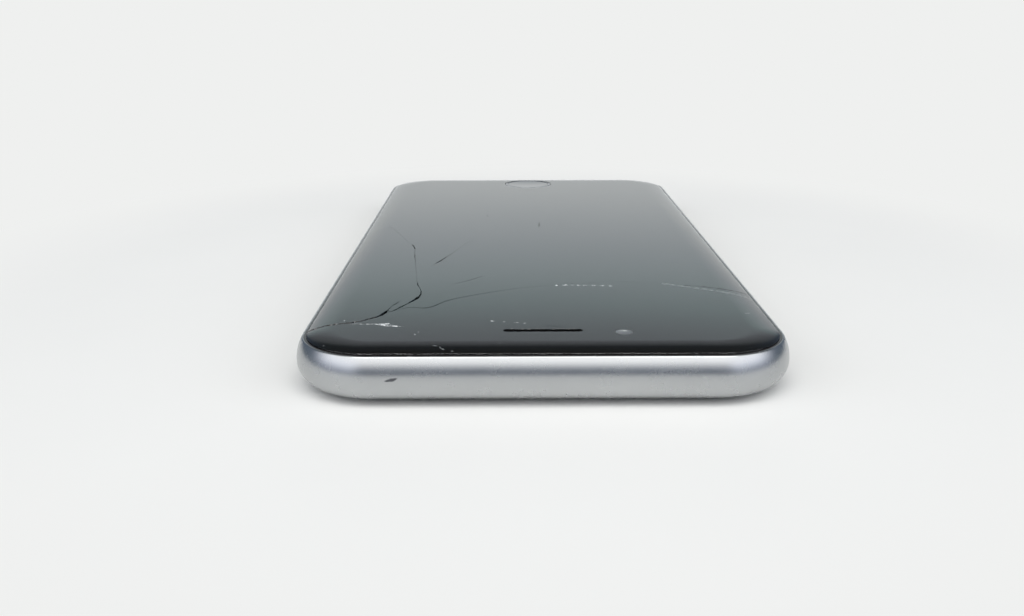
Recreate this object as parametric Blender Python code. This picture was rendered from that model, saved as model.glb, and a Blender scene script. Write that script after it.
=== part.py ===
"""A smartphone with a shattered cover glass, lying on its back with the screen up.

The frame: +Z is up, through the screen. The earpiece end points to -Y and the home button end to +Y,
so a person who looks along +Y sees the earpiece edge first. +X is the phone's left side, with the
volume buttons. The camera ring on the back stands proud and touches Z = 0.
Every size is in metres. A name that ends in _Z is a level, and every other size is a length.
"""

import math

import bmesh
import bpy
from mathutils import Vector

MM = 0.001

# Overall size
BODY_WIDTH = 67.1 * MM
BODY_LENGTH = 138.3 * MM
BODY_THICKNESS = 7.1 * MM
CORNER_RADIUS = 11.0 * MM

# Clearances: FIT between seated pieces, SEAT round a piece that lies loose in its place, and RUN
# round a piece that moves. OVERCUT is how far a cutter runs past what it cuts.
FIT = 0.05 * MM
SEAT = 0.10 * MM
RUN = 0.10 * MM
OVERCUT = 1.0 * MM

# Shaping: corner radii of plain blocks, the angle from which an edge is shaded sharp, and a length
# that is too short to matter
BLOCK_CORNER = 0.6 * MM
SMALL_CORNER = 0.3 * MM
SHARP_ANGLE = math.radians(35)
TINY = 1e-6

# Aluminium housing
BACK_SKIN = 0.8 * MM
WALL = 1.9 * MM
CAVITY_CHAMFER = 0.35 * MM
BACK_INSET = 3.4 * MM
LIP_DROP = 0.65 * MM
LIP_INSET = 0.85 * MM
LIP_WIDTH = 0.2 * MM
LEDGE_DEPTH = 1.55 * MM
CORNER_STEPS = 9
PROFILE_STEPS = 5

# Plastic antenna bands, inlaid across the back
BAND_FROM_END = 15.0 * MM
BAND_WIDTH = 1.3 * MM
BAND_DEPTH = 0.25 * MM
BAND_FROM_LIP = 0.4 * MM

# Display stack
BEZEL_WALL = 0.29 * MM
BEZEL_SKIRT = 0.5 * MM
BEZEL_SHELF_INSET = 2.6 * MM
BEZEL_SHELF = 0.4 * MM
GLASS_THICKNESS = 0.7 * MM
GLASS_EDGE = 0.15 * MM
GLASS_CURVE_RUN = 4.0 * MM
GLASS_CURVE_STEPS = 6
PANEL_THICKNESS = 1.05 * MM
PANEL_SIDE_INSET = 3.5 * MM
SHIELD_THICKNESS = 0.25 * MM
CRACK_GAP = 0.08 * MM

# Earpiece end, measured from the earpiece edge and from the middle
SLOT_FROM_TOP = 9.8 * MM
SLOT_LENGTH = 10.8 * MM
SLOT_HEIGHT = 1.1 * MM
MESH_FLANGE = 0.25 * MM
MESH_MARGIN = 0.8 * MM
MESH_SINK = 0.35 * MM
EARPIECE_LENGTH = 13.5 * MM
EARPIECE_WIDTH = 6.2 * MM
FRONT_CAMERA_X = 10.95 * MM
FRONT_CAMERA_FROM_TOP = 9.0 * MM
FRONT_CAMERA_SIZE = 6.0 * MM
FRONT_BARREL_RADIUS = 1.6 * MM
FRONT_BARREL_LENGTH = 0.75 * MM
SENSOR_X = -10.5 * MM
SENSOR_LENGTH = 4.4 * MM
SENSOR_WIDTH = 3.2 * MM
SENSOR_FLEX = 0.15 * MM
SENSOR_FLEX_MARGIN = 0.4 * MM

# Home button
HOME_CAP_RADIUS = 4.9 * MM
HOME_RING_WIDTH = 0.55 * MM
HOME_RING_CHAMFER = 0.1 * MM
HOME_FLANGE_WIDTH = 0.7 * MM
HOME_FLANGE = 0.35 * MM
HOME_DISH = 0.25 * MM
HOME_SINK = 0.08 * MM
HOME_TRAVEL = 0.3 * MM
HOME_GAP = 0.15 * MM
HOME_SHELF_GAP = 0.6 * MM
HOME_PANEL_GAP = 1.5 * MM
GASKET_THICKNESS = 0.2 * MM
BRACKET_THICKNESS = 0.3 * MM
BRACKET_WIDTH = 13.6 * MM
BRACKET_END_GAP = 1.0 * MM
HOME_SWITCH_RADIUS = 2.4 * MM
HOME_SWITCH_RIM = 0.1 * MM
HOME_SWITCH_TIP = 0.8 * MM

# Side buttons, measured from the earpiece edge
BUTTON_HEIGHT = 2.0 * MM
BUTTON_PROUD = 0.35 * MM
BUTTON_CHAMFER = 0.15 * MM
BUTTON_TRAVEL = 0.3 * MM
BUTTON_FLANGE = 0.55 * MM
BUTTON_FLANGE_MARGIN = 0.5 * MM
FLANGE_WALL_GAP = 0.2 * MM
POWER_FROM_TOP = 34.0 * MM
POWER_LENGTH = 9.6 * MM
VOLUME_LENGTH = 8.4 * MM
VOLUME_UP_FROM_TOP = 34.0 * MM
VOLUME_DOWN_FROM_TOP = 45.8 * MM
SWITCH_THICKNESS = 1.1 * MM
SWITCH_MARGIN = 1.0 * MM
DOME_RADIUS = 1.1 * MM
DOME_HEIGHT = 0.3 * MM
MUTE_FROM_TOP = 21.5 * MM
MUTE_LENGTH = 5.5 * MM
MUTE_HEIGHT = 1.3 * MM
MUTE_CORNER = 0.45 * MM
MUTE_TRAVEL = 1.1 * MM
MUTE_RECESS = 0.35 * MM
MUTE_FLANGE = 0.5 * MM
MUTE_FLANGE_SIDE = 0.6 * MM
MUTE_FLANGE_TOP = 0.25 * MM
MUTE_BODY_DEPTH = 2.4 * MM
MUTE_BODY_MARGIN = 0.8 * MM

# Card tray, on the right side
TRAY_FROM_TOP = 54.6 * MM
TRAY_LENGTH = 15.2 * MM
TRAY_HEIGHT = 1.9 * MM
TRAY_PROUD = -0.04 * MM
TRAY_FACE = 2.3 * MM
TRAY_DEPTH = 14.6 * MM
TRAY_FRAME = 0.9 * MM
TRAY_FRAME_SIDE = 7.1 * MM
TRAY_PIN_SIDE = 5.3 * MM
TRAY_WINDOW_RIM = 1.0 * MM
TRAY_CORNER = 0.5 * MM
TRAY_END_GAP = 1.0 * MM
PIN_HOLE_RADIUS = 0.45 * MM
PIN_HOLE_OFFSET = 6.4 * MM
CARD_LENGTH = 12.3 * MM
CARD_WIDTH = 8.8 * MM
CARD_THICKNESS = 0.67 * MM
READER_WALL = 0.25 * MM

# Rear camera, flash and microphone, on the back at the earpiece end
CAMERA_PROUD = 0.7 * MM
CAMERA_FROM_SIDE = 10.35 * MM
CAMERA_FROM_TOP = 9.8 * MM
CAMERA_COVER_RADIUS = 3.3 * MM
CAMERA_COVER = 0.58 * MM
CAMERA_COVER_SINK = 0.12 * MM
CAMERA_RING_WIDTH = 0.65 * MM
CAMERA_RING_CHAMFER = 0.12 * MM
CAMERA_SEAT_WIDTH = 0.45 * MM
CAMERA_BODY_SIZE = 8.6 * MM
CAMERA_BODY_HEIGHT = 3.75 * MM
BARREL_GAP = 0.15 * MM
BARREL_LENGTH = 2.3 * MM
BARREL_RIM = 0.75 * MM
LENS_RADIUS = 1.2 * MM
LENS_SINK = 0.4 * MM
FLASH_FROM_CAMERA = 10.9 * MM
FLASH_RADIUS = 2.1 * MM
FLASH_LED_SIZE = 3.6 * MM
REAR_MIC_FROM_CAMERA = 6.8 * MM
REAR_MIC_HOLE_RADIUS = 0.45 * MM
REAR_MIC_LENGTH = 3.0 * MM
REAR_MIC_WIDTH = 2.4 * MM

# Home edge, a row of pieces on each side of the port
PORT_SLOT_WIDTH = 8.4 * MM
PORT_SLOT_HEIGHT = 2.5 * MM
PORT_DROP = 0.5 * MM
PORT_WALL = 0.4 * MM
PORT_BACK_WALL = 1.2 * MM
PORT_DEPTH = 10.9 * MM
TONGUE_WIDTH = 6.6 * MM
TONGUE_THICKNESS = 0.7 * MM
TONGUE_LENGTH = 5.2 * MM
SCREW_HEAD_RADIUS = 0.8 * MM
SCREW_SHANK_RADIUS = 0.5 * MM
SCREW_SOCKET_RADIUS = 0.4 * MM
SCREW_SOCKET_DEPTH = 0.4 * MM
SCREW_HEAD = 0.75 * MM
SCREW_SINK = 0.15 * MM
SCREW_LENGTH = 3.6 * MM
LUG_WIDTH = 3.2 * MM
LUG_THICKNESS = 1.3 * MM
LUG_BELOW_SCREW = 0.95 * MM
MIC_WIDTH = 3.0 * MM
MIC_HEIGHT = 2.0 * MM
MIC_DEPTH = 2.4 * MM
MIC_HOLE_RADIUS = 0.55 * MM
JACK_BORE_RADIUS = 1.77 * MM
JACK_HEIGHT = 4.0 * MM
JACK_WIDTH = 5.1 * MM
JACK_DROP = 0.25 * MM
ROW_PAST_CORNER = 0.5 * MM
SPEAKER_HOLE_PITCH = 1.85 * MM
SPEAKER_HOLE_RADIUS = 0.7 * MM
SPEAKER_MESH = 0.15 * MM
SPEAKER_MESH_HEIGHT = 2.2 * MM
SPEAKER_HEIGHT = 3.6 * MM
SPEAKER_DEPTH = 13.3 * MM
SPEAKER_SIDE_GAP = 1.25 * MM
SPEAKER_LUG_GAP = 0.5 * MM
SPEAKER_CORNER_GAP = 1.0 * MM

# Board, battery and flexes
BOARD_WALL_GAP = 2.85 * MM
BOARD_WIDTH = 20.4 * MM
BOARD_THICKNESS = 0.7 * MM
BOARD_FROM_TOP = 15.3 * MM
BOARD_FROM_END = 36.1 * MM
BOARD_BAR_FROM_TOP = 3.4 * MM
BOARD_CAMERA_GAP = 1.2 * MM
BOARD_RIM = 1.2 * MM
SHIELD_END_GAP = 2.0 * MM
LOWER_SHIELD = 0.6 * MM
UPPER_SHIELD = 1.2 * MM
COVER_LENGTH = 16.4 * MM
LANE = 1.9 * MM
BATTERY_WALL_GAP = 3.65 * MM
BATTERY_FROM_TOP = 25.6 * MM
BATTERY_FROM_END = 17.6 * MM
BATTERY_ROOM = 0.7 * MM
BATTERY_CORNER = 1.2 * MM
TAPE_THICKNESS = 0.08 * MM
TAPE_WIDTH = 8.0 * MM
TAPE_INSET = 3.0 * MM
TAB_LENGTH = 4.7 * MM
TAB_WIDTH = 6.0 * MM
TAB_THICKNESS = 0.5 * MM
DOCK_FLEX = 0.15 * MM
DOCK_FLEX_FROM_END = 13.3 * MM
DOCK_FLEX_WIDTH = 3.5 * MM
DOCK_FLEX_END_GAP = 2.0 * MM
DOCK_FLEX_LANE_GAP = 0.3 * MM
ANTENNA_GAP = 2.9 * MM
ANTENNA_WALL_GAP = 2.6 * MM
ANTENNA_WIDTH = 9.2 * MM
ANTENNA_THICKNESS = 2.5 * MM
ANTENNA_CORNER = 3.0 * MM

# Vibration motor, its axis along X
MOTOR_FROM_END = 25.3 * MM
MOTOR_RADIUS = 1.8 * MM
MOTOR_LENGTH = 9.0 * MM
MOTOR_WALL_GAP = 4.2 * MM
MOTOR_ABOVE_FLOOR = 2.05 * MM
SHAFT_RADIUS = 0.4 * MM
SHAFT_LENGTH = 9.6 * MM
SHAFT_IN_MOTOR = 3.8 * MM
SHAFT_PAST_WEIGHT = 0.6 * MM
SHAFT_END_GAP = 0.2 * MM
WEIGHT_LENGTH = 3.8 * MM
WEIGHT_RADIUS = 1.75 * MM
WEIGHT_HUB_RADIUS = 0.85 * MM
CRADLE_WIDTH = 6.0 * MM
CRADLE_END_GAP = 0.8 * MM
CRADLE_BELOW_AXIS = 0.4 * MM

# Levels, from the back face up
BACK_Z = CAMERA_PROUD
FLOOR_Z = BACK_Z + BACK_SKIN
GLASS_TOP_Z = BACK_Z + BODY_THICKNESS
LIP_Z = GLASS_TOP_Z - LIP_DROP
LEDGE_Z = LIP_Z - LEDGE_DEPTH
GLASS_LOW_Z = GLASS_TOP_Z - GLASS_THICKNESS
SHELF_TOP_Z = GLASS_LOW_Z - FIT
SHELF_LOW_Z = SHELF_TOP_Z - BEZEL_SHELF
WIDEST_Z = (FLOOR_Z + SHELF_LOW_Z) / 2
PORT_Z = WIDEST_Z - PORT_DROP
JACK_Z = WIDEST_Z - JACK_DROP
PANEL_TOP_Z = GLASS_LOW_Z - FIT
PANEL_LOW_Z = PANEL_TOP_Z - PANEL_THICKNESS
SHIELD_TOP_Z = PANEL_LOW_Z - FIT
SHIELD_LOW_Z = SHIELD_TOP_Z - SHIELD_THICKNESS
BRACKET_TOP_Z = SHIELD_LOW_Z - FIT
SWITCH_TOP_Z = SHIELD_LOW_Z - 2 * SEAT
BOARD_LOW_Z = FLOOR_Z + SEAT + LOWER_SHIELD + SEAT
BOARD_TOP_Z = BOARD_LOW_Z + BOARD_THICKNESS
BOARD_SHIELD_Z = BOARD_TOP_Z + SEAT
BOARD_SHIELD_TOP_Z = BOARD_SHIELD_Z + UPPER_SHIELD
SENSOR_FLEX_Z = BOARD_SHIELD_TOP_Z + SEAT
SENSOR_FLEX_TOP_Z = SENSOR_FLEX_Z + SENSOR_FLEX
MOTOR_Z = FLOOR_Z + MOTOR_ABOVE_FLOOR

# Places seen from above
HALF_WIDTH = BODY_WIDTH / 2
HALF_LENGTH = BODY_LENGTH / 2
CAVITY_X = HALF_WIDTH - WALL
CAVITY_Y = HALF_LENGTH - WALL
OPENING_INSET = LIP_INSET + LIP_WIDTH
BEZEL_INSET = OPENING_INSET + FIT
GLASS_INSET = BEZEL_INSET + BEZEL_WALL + FIT
HOME_RING_RADIUS = HOME_CAP_RADIUS + FIT + HOME_RING_WIDTH
HOME_FLANGE_RADIUS = HOME_RING_RADIUS + HOME_FLANGE_WIDTH
HOME_FROM_END = BEZEL_SHELF_INSET + HOME_SHELF_GAP + HOME_FLANGE_RADIUS
PANEL_FROM_END = HOME_FROM_END + HOME_FLANGE_RADIUS + HOME_PANEL_GAP
FLANGE_INSET = WALL + FLANGE_WALL_GAP
CAMERA_X = CAMERA_FROM_SIDE - HALF_WIDTH
CAMERA_RING_RADIUS = CAMERA_COVER_RADIUS + FIT + CAMERA_RING_WIDTH
BOARD_FAR_X = BOARD_WALL_GAP - CAVITY_X
BOARD_NEAR_X = BOARD_FAR_X + BOARD_WIDTH
BAR_FAR_X = CAMERA_X + CAMERA_BODY_SIZE / 2 + BOARD_CAMERA_GAP
BAR_NEAR_X = FRONT_CAMERA_X + FRONT_CAMERA_SIZE / 2
READER_HALF_WIDTH = TRAY_FRAME_SIDE + RUN + READER_WALL + 2 * SEAT
BATTERY_FAR_X = BOARD_NEAR_X + LANE
BATTERY_NEAR_X = CAVITY_X - BATTERY_WALL_GAP
MOTOR_FAR_X = MOTOR_WALL_GAP - CAVITY_X
EDGE_Y = CAVITY_Y - SEAT

# The row along the home edge: the lug, the microphone and the jack stand evenly between the port and
# the housing's corner.
ROW_START = PORT_SLOT_WIDTH / 2 + PORT_WALL
ROW_END = HALF_WIDTH - CORNER_RADIUS + ROW_PAST_CORNER
ROW_GAP = (ROW_END - ROW_START - LUG_WIDTH - MIC_WIDTH - JACK_WIDTH) / 3
SCREW_X = ROW_START + ROW_GAP + LUG_WIDTH / 2
MIC_X = SCREW_X + LUG_WIDTH / 2 + ROW_GAP + MIC_WIDTH / 2
JACK_X = ROW_END - JACK_WIDTH / 2

# The cracks, as points (across, along), which are shares of the glass. Across runs from -1 at the
# right side's edge to 1 at the left side's edge. Along runs from 0 at the earpiece edge to 1 at the
# home edge.
ACROSS_CRACK_START = ((-1.08, 0.065), (-0.969, 0.082), (-0.922, 0.090), (-0.83, 0.097), (-0.771, 0.107),
                      (-0.722, 0.118), (-0.692, 0.134), (-0.655, 0.142))
ACROSS_CRACK_MIDDLE = ((-0.655, 0.142), (-0.59, 0.154), (-0.546, 0.150), (-0.512, 0.150), (-0.481, 0.159),
                       (-0.44, 0.176), (-0.373, 0.190), (-0.281, 0.205), (-0.187, 0.218), (-0.102, 0.229),
                       (0.094, 0.242), (0.367, 0.259), (0.609, 0.249), (0.689, 0.239))
SLIVER_NEAR_CRACK = ((0.689, 0.239), (0.78, 0.227), (0.867, 0.214), (0.948, 0.199), (1.08, 0.175))
SLIVER_FAR_CRACK = ((0.689, 0.239), (0.785, 0.235), (0.872, 0.224), (0.956, 0.212), (1.08, 0.195))
LONG_CRACK = ((-0.655, 0.142), (-0.638, 0.152), (-0.609, 0.166), (-0.577, 0.185), (-0.562, 0.201),
              (-0.566, 0.220), (-0.592, 0.246), (-0.617, 0.289), (-0.635, 0.338), (-0.657, 0.385),
              (-0.677, 0.433), (-0.711, 0.456), (-0.778, 0.504), (-0.862, 0.557), (-1.08, 0.644))
SHORT_SPUR = ((-0.692, 0.134), (-0.685, 0.153), (-0.662, 0.166), (-0.646, 0.181))
FAR_BRANCH = ((-0.566, 0.220), (-0.553, 0.284), (-0.535, 0.343), (-0.501, 0.363), (-0.454, 0.397),
              (-0.42, 0.432), (-0.343, 0.490), (-0.27, 0.570), (-0.2, 0.598), (-0.045, 0.657),
              (0.024, 0.697), (0.075, 0.783))
FAR_SPUR = ((-0.27, 0.570), (-0.28, 0.643), (-0.343, 0.732), (-0.324, 0.841))


def from_top(distance):
    """Y at this distance from the earpiece edge."""
    return distance - HALF_LENGTH


def from_end(distance):
    """Y at this distance from the home button edge."""
    return HALF_LENGTH - distance


def finish(name, hex_colour, roughness, metallic=0.0):
    """A Principled material, whose colour is written as sRGB."""
    material = bpy.data.materials.get(name)
    if material:
        return material
    material = bpy.data.materials.new(name)
    material.use_nodes = True
    shader = material.node_tree.nodes["Principled BSDF"]
    channels = [int(hex_colour[i:i + 2], 16) / 255 for i in (1, 3, 5)]
    linear = [c / 12.92 if c <= 0.04045 else ((c + 0.055) / 1.055) ** 2.4 for c in channels]
    shader.inputs["Base Color"].default_value = (*linear, 1.0)
    shader.inputs["Roughness"].default_value = roughness
    shader.inputs["Metallic"].default_value = metallic
    return material


def anodised():
    return finish("anodised_grey_aluminium", "#9EA0A5", 0.38, 1.0)


def glass():
    return finish("black_backed_glass", "#0B0C0E", 0.05)


def black_plastic():
    return finish("black_plastic", "#1B1C1E", 0.45)


def band_plastic():
    return finish("grey_band_plastic", "#77797D", 0.5)


def steel():
    return finish("stamped_steel", "#B4B5B8", 0.35, 1.0)


def board_resin():
    return finish("dark_board_resin", "#16202A", 0.55)


def flex_film():
    return finish("amber_flex_film", "#5A3A1C", 0.5)


def battery_foil():
    return finish("black_battery_foil", "#202124", 0.6)


def rubber():
    return finish("black_rubber", "#141414", 0.8)


def gold():
    return finish("gold_contact_plate", "#C9A44C", 0.3, 1.0)


def clear_lens():
    return finish("dark_lens_glass", "#101418", 0.04)


def add_object(name, body, material, location):
    """Makes the object from a bmesh, with its faces pointing out and its round sides shaded smooth."""
    bmesh.ops.remove_doubles(body, verts=body.verts, dist=TINY / 10)
    bmesh.ops.recalc_face_normals(body, faces=body.faces)
    mesh = bpy.data.meshes.new(name)
    body.to_mesh(mesh)
    body.free()
    mesh.shade_smooth()
    mesh.set_sharp_from_angle(angle=SHARP_ANGLE)
    if material:
        mesh.materials.append(material)
    made = bpy.data.objects.new(name, mesh)
    made.location = location
    bpy.context.scene.collection.objects.link(made)
    return made


def loft(name, rings, material=None, location=(0, 0, 0), capped=True):
    """A skin over rings of points with equal counts. Capped ends make a solid, and otherwise the last
    ring joins the first, which makes a closed frame."""
    body = bmesh.new()
    rows = [[body.verts.new(point) for point in ring] for ring in rings]
    count = len(rows[0])
    pairs = list(zip(rows, rows[1:]))
    if not capped:
        pairs.append((rows[-1], rows[0]))
    for low, high in pairs:
        for i in range(count):
            j = (i + 1) % count
            body.faces.new((low[i], low[j], high[j], high[i]))
    if capped:
        body.faces.new(list(reversed(rows[0])))
        body.faces.new(rows[-1])
    return add_object(name, body, material, location)


def placed(axis, outline, level):
    """The points of a flat outline, standing at this level along the axis."""
    if axis == "X":
        return [(level, a, b) for a, b in outline]
    if axis == "Y":
        return [(a, level, b) for a, b in outline]
    return [(a, b, level) for a, b in outline]


def extrude(name, outline, low, high, material=None, location=(0, 0, 0), axis="Z"):
    """A prism: the outline carried along the axis from low to high."""
    return loft(name, [placed(axis, outline, low), placed(axis, outline, high)], material, location)


def turn(name, profile, material=None, location=(0, 0, 0), axis="Z", steps=24, closed=False):
    """A turned piece: profile holds (radius, level) points. It starts and ends on the axis, or is
    closed, which makes a ring."""
    body = bmesh.new()
    along = Vector({"X": (1, 0, 0), "Y": (0, 1, 0), "Z": (0, 0, 1)}[axis])
    out = Vector({"X": (0, 1, 0), "Y": (0, 0, 1), "Z": (1, 0, 0)}[axis])
    points = [body.verts.new(out * radius + along * level) for radius, level in profile]
    edges = [body.edges.new(pair) for pair in zip(points, points[1:])]
    if closed:
        edges.append(body.edges.new((points[-1], points[0])))
    bmesh.ops.spin(body, geom=points + edges, cent=(0, 0, 0), axis=along, angle=math.tau, steps=steps,
                   use_merge=True)
    return add_object(name, body, material, location)


def rounded_rectangle(half_x, half_y, radius, steps=3):
    """Points round a rectangle with round corners, counter-clockwise."""
    points = []
    for quarter, (side_x, side_y) in enumerate(((1, 1), (-1, 1), (-1, -1), (1, -1))):
        centre_x = side_x * (half_x - radius)
        centre_y = side_y * (half_y - radius)
        for step in range(steps + 1):
            angle = math.pi / 2 * (quarter + step / steps)
            points.append((centre_x + radius * math.cos(angle), centre_y + radius * math.sin(angle)))
    return points


def pill(length, height, steps=5):
    """A slot shape with round ends, its length along the first axis."""
    return rounded_rectangle(length / 2, height / 2, height / 2 - TINY, steps)


def circle(radius, steps=5):
    """A circle with as many points as a pill of the same steps."""
    return rounded_rectangle(radius, radius, radius - TINY, steps)


def block(name, low, high, material=None, radius=BLOCK_CORNER):
    """A flat-topped block between two corners, with round upright edges. Its origin is its centre."""
    low, high = Vector(low), Vector(high)
    half = (high - low) / 2
    outline = rounded_rectangle(half.x, half.y, min(radius, half.x * 0.9, half.y * 0.9))
    return extrude(name, outline, -half.z, half.z, material, (low + high) / 2)


def steps_of(name, shapes, axis, material, location):
    """A stepped piece: shapes holds (outline, level) pairs, whose outlines have equal counts."""
    return loft(name, [placed(axis, outline, level) for outline, level in shapes], material, location)


def apply_boolean(target, tool, operation):
    modifier = target.modifiers.new(f"{operation.lower()}_{tool.name}", "BOOLEAN")
    modifier.operation = operation
    modifier.solver = "EXACT"
    modifier.object = tool
    tool.hide_render = True
    tool.display_type = "WIRE"


def cut(target, *tools):
    for tool in tools:
        apply_boolean(target, tool, "DIFFERENCE")


def join(target, *tools):
    for tool in tools:
        apply_boolean(target, tool, "UNION")


def body_outline(inset, steps=CORNER_STEPS):
    """The phone's outline seen from above, taken in by inset."""
    return rounded_rectangle(HALF_WIDTH - inset, HALF_LENGTH - inset, CORNER_RADIUS - inset, steps)


def body_rings(section):
    """One ring of the phone's outline for each (inset, z) of a section."""
    return [placed("Z", body_outline(inset), z) for inset, z in section]


def side_profile():
    """The housing's outer side as (inset, z), from the back face up to the lip."""
    points = []
    widest_height = WIDEST_Z - BACK_Z
    for step in range(PROFILE_STEPS + 1):
        angle = math.pi / 2 * step / PROFILE_STEPS
        points.append((BACK_INSET * (1 - math.sin(angle)), WIDEST_Z - widest_height * math.cos(angle)))
    rise = LIP_Z - WIDEST_Z
    radius = (LIP_INSET ** 2 + rise ** 2) / (2 * LIP_INSET)
    sweep = math.asin(rise / radius)
    for step in range(1, PROFILE_STEPS + 1):
        angle = sweep * step / PROFILE_STEPS
        points.append((radius * (1 - math.cos(angle)), WIDEST_Z + radius * math.sin(angle)))
    return points


def offset_profile(points, depth):
    """The profile moved into the metal by depth, or out of it if depth is negative."""
    moved = []
    for i, (inset, z) in enumerate(points):
        before = points[max(i - 1, 0)]
        after = points[min(i + 1, len(points) - 1)]
        along = Vector((after[0] - before[0], after[1] - before[1])).normalized()
        if i == 0:
            along = Vector((-1, 0))
        moved.append((inset + along.y * depth, z - along.x * depth))
    return moved


def side_inset(z):
    """How far the outer side lies inside the widest line, at a level."""
    profile = side_profile()
    for low, high in zip(profile, profile[1:]):
        if low[1] <= z <= high[1]:
            share = (z - low[1]) / (high[1] - low[1])
            return low[0] + share * (high[0] - low[0])
    return LIP_INSET


def make_housing():
    section = side_profile()
    section += [(OPENING_INSET, LIP_Z), (OPENING_INSET, LEDGE_Z), (WALL, LEDGE_Z),
                (WALL, FLOOR_Z + CAVITY_CHAMFER), (WALL + CAVITY_CHAMFER, FLOOR_Z)]
    housing = loft("rear_housing", body_rings(section), anodised())
    cut(housing, *side_openings(), *bottom_openings(), *back_openings())
    for name, y in band_places():
        groove = band_solid(f"{name}_groove", y, BAND_WIDTH / 2 + FIT, -BAND_DEPTH, BAND_DEPTH + FIT, FIT)
        cut(housing, groove)


def side_openings():
    """Cutters for the buttons' slots, the mute switch's window and the card tray's slot."""
    outside = HALF_WIDTH + OVERCUT
    inside = CAVITY_X - OVERCUT
    tools = []
    for name, side, distance, length in (("power", -1, POWER_FROM_TOP, POWER_LENGTH),
                                         ("volume_up", 1, VOLUME_UP_FROM_TOP, VOLUME_LENGTH),
                                         ("volume_down", 1, VOLUME_DOWN_FROM_TOP, VOLUME_LENGTH)):
        outline = pill(length + 2 * RUN, BUTTON_HEIGHT + 2 * RUN)
        tools.append(extrude(f"{name}_slot", outline, side * inside, side * outside, axis="X",
                             location=(0, from_top(distance), WIDEST_Z)))
    window = rounded_rectangle(MUTE_LENGTH / 2 + RUN, (MUTE_HEIGHT + MUTE_TRAVEL) / 2 + RUN,
                               MUTE_CORNER + RUN)
    tools.append(extrude("mute_window", window, inside, outside, axis="X",
                         location=(0, from_top(MUTE_FROM_TOP), WIDEST_Z)))
    tray = pill(TRAY_LENGTH + 2 * RUN, TRAY_HEIGHT + 2 * RUN)
    tools.append(extrude("tray_slot", tray, -outside, -inside, axis="X",
                         location=(0, from_top(TRAY_FROM_TOP), WIDEST_Z)))
    return tools


def bottom_openings():
    """Cutters for the port, the jack, the screws, the microphone and the loudspeaker's holes."""
    outside = HALF_LENGTH + OVERCUT
    inside = CAVITY_Y - OVERCUT
    tools = [extrude("port_hole", pill(PORT_SLOT_WIDTH, PORT_SLOT_HEIGHT), inside, outside, axis="Y",
                     location=(0, 0, PORT_Z)),
             extrude("jack_hole", circle(JACK_BORE_RADIUS), inside, outside, axis="Y",
                     location=(JACK_X, 0, JACK_Z)),
             extrude("mic_hole", circle(MIC_HOLE_RADIUS, 2), inside, outside, axis="Y",
                     location=(MIC_X, 0, PORT_Z))]
    seat_y = from_end(SCREW_SINK + SCREW_HEAD) - FIT
    head, shank = SCREW_HEAD_RADIUS + FIT, SCREW_SHANK_RADIUS + FIT
    profile = ((0, outside), (head, outside), (head, seat_y), (shank, seat_y), (shank, inside), (0, inside))
    for name, side in (("left", 1), ("right", -1)):
        tools.append(turn(f"screw_hole_{name}", profile, axis="Y", steps=12,
                          location=(side * SCREW_X, 0, PORT_Z)))
    for i, x in enumerate(speaker_hole_places()):
        tools.append(extrude(f"speaker_hole_{i + 1}", circle(SPEAKER_HOLE_RADIUS, 3), inside, outside,
                             axis="Y", location=(x, 0, PORT_Z)))
    return tools


def speaker_hole_places():
    """X of each of the loudspeaker's holes: as many as fit between the screw's lug and the corner."""
    start = SCREW_X + LUG_WIDTH / 2 + SPEAKER_LUG_GAP + SPEAKER_HOLE_PITCH / 2
    count = int((ROW_END - SPEAKER_HOLE_RADIUS - start) / SPEAKER_HOLE_PITCH) + 1
    return [-start - i * SPEAKER_HOLE_PITCH for i in range(count)]


def back_openings():
    """Cutters through the back skin for the camera ring, the flash and the rear microphone."""
    low, high = BACK_Z - OVERCUT, FLOOR_Z + OVERCUT
    y = from_top(CAMERA_FROM_TOP)
    return [extrude("camera_hole", circle(CAMERA_RING_RADIUS + FIT, 7), low, high, location=(CAMERA_X, y, 0)),
            extrude("flash_hole", circle(FLASH_RADIUS + FIT, 5), low, high,
                    location=(CAMERA_X + FLASH_FROM_CAMERA, y, 0)),
            extrude("rear_mic_hole", circle(REAR_MIC_HOLE_RADIUS, 2), low, high,
                    location=(CAMERA_X + REAR_MIC_FROM_CAMERA, y, 0))]


def band_places():
    return (("antenna_band_top", from_top(BAND_FROM_END)), ("antenna_band_bottom", from_end(BAND_FROM_END)))


def band_solid(name, y, half_width, outer_depth, inner_depth, top_gap, material=None):
    """A strip that follows the housing's outside, from one side under the back to the other side."""
    top_z = LIP_Z - BAND_FROM_LIP + top_gap
    profile = [point for point in side_profile() if point[1] < top_z]
    profile.append((side_inset(top_z), top_z))
    outer = offset_profile(profile, outer_depth)
    inner = offset_profile(profile, inner_depth)
    left = [(HALF_WIDTH - inset, z) for inset, z in reversed(outer)]
    inner_right = [(inset - HALF_WIDTH, z) for inset, z in reversed(inner)]
    right = [(-x, z) for x, z in reversed(left)]
    inner_left = [(-x, z) for x, z in reversed(inner_right)]
    return extrude(name, left + right + inner_right + inner_left, -half_width, half_width, material,
                   (0, y, 0), axis="Y")


def make_bands():
    for name, y in band_places():
        band_solid(name, y, BAND_WIDTH / 2, 0.0, BAND_DEPTH, 0.0, band_plastic())


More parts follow.
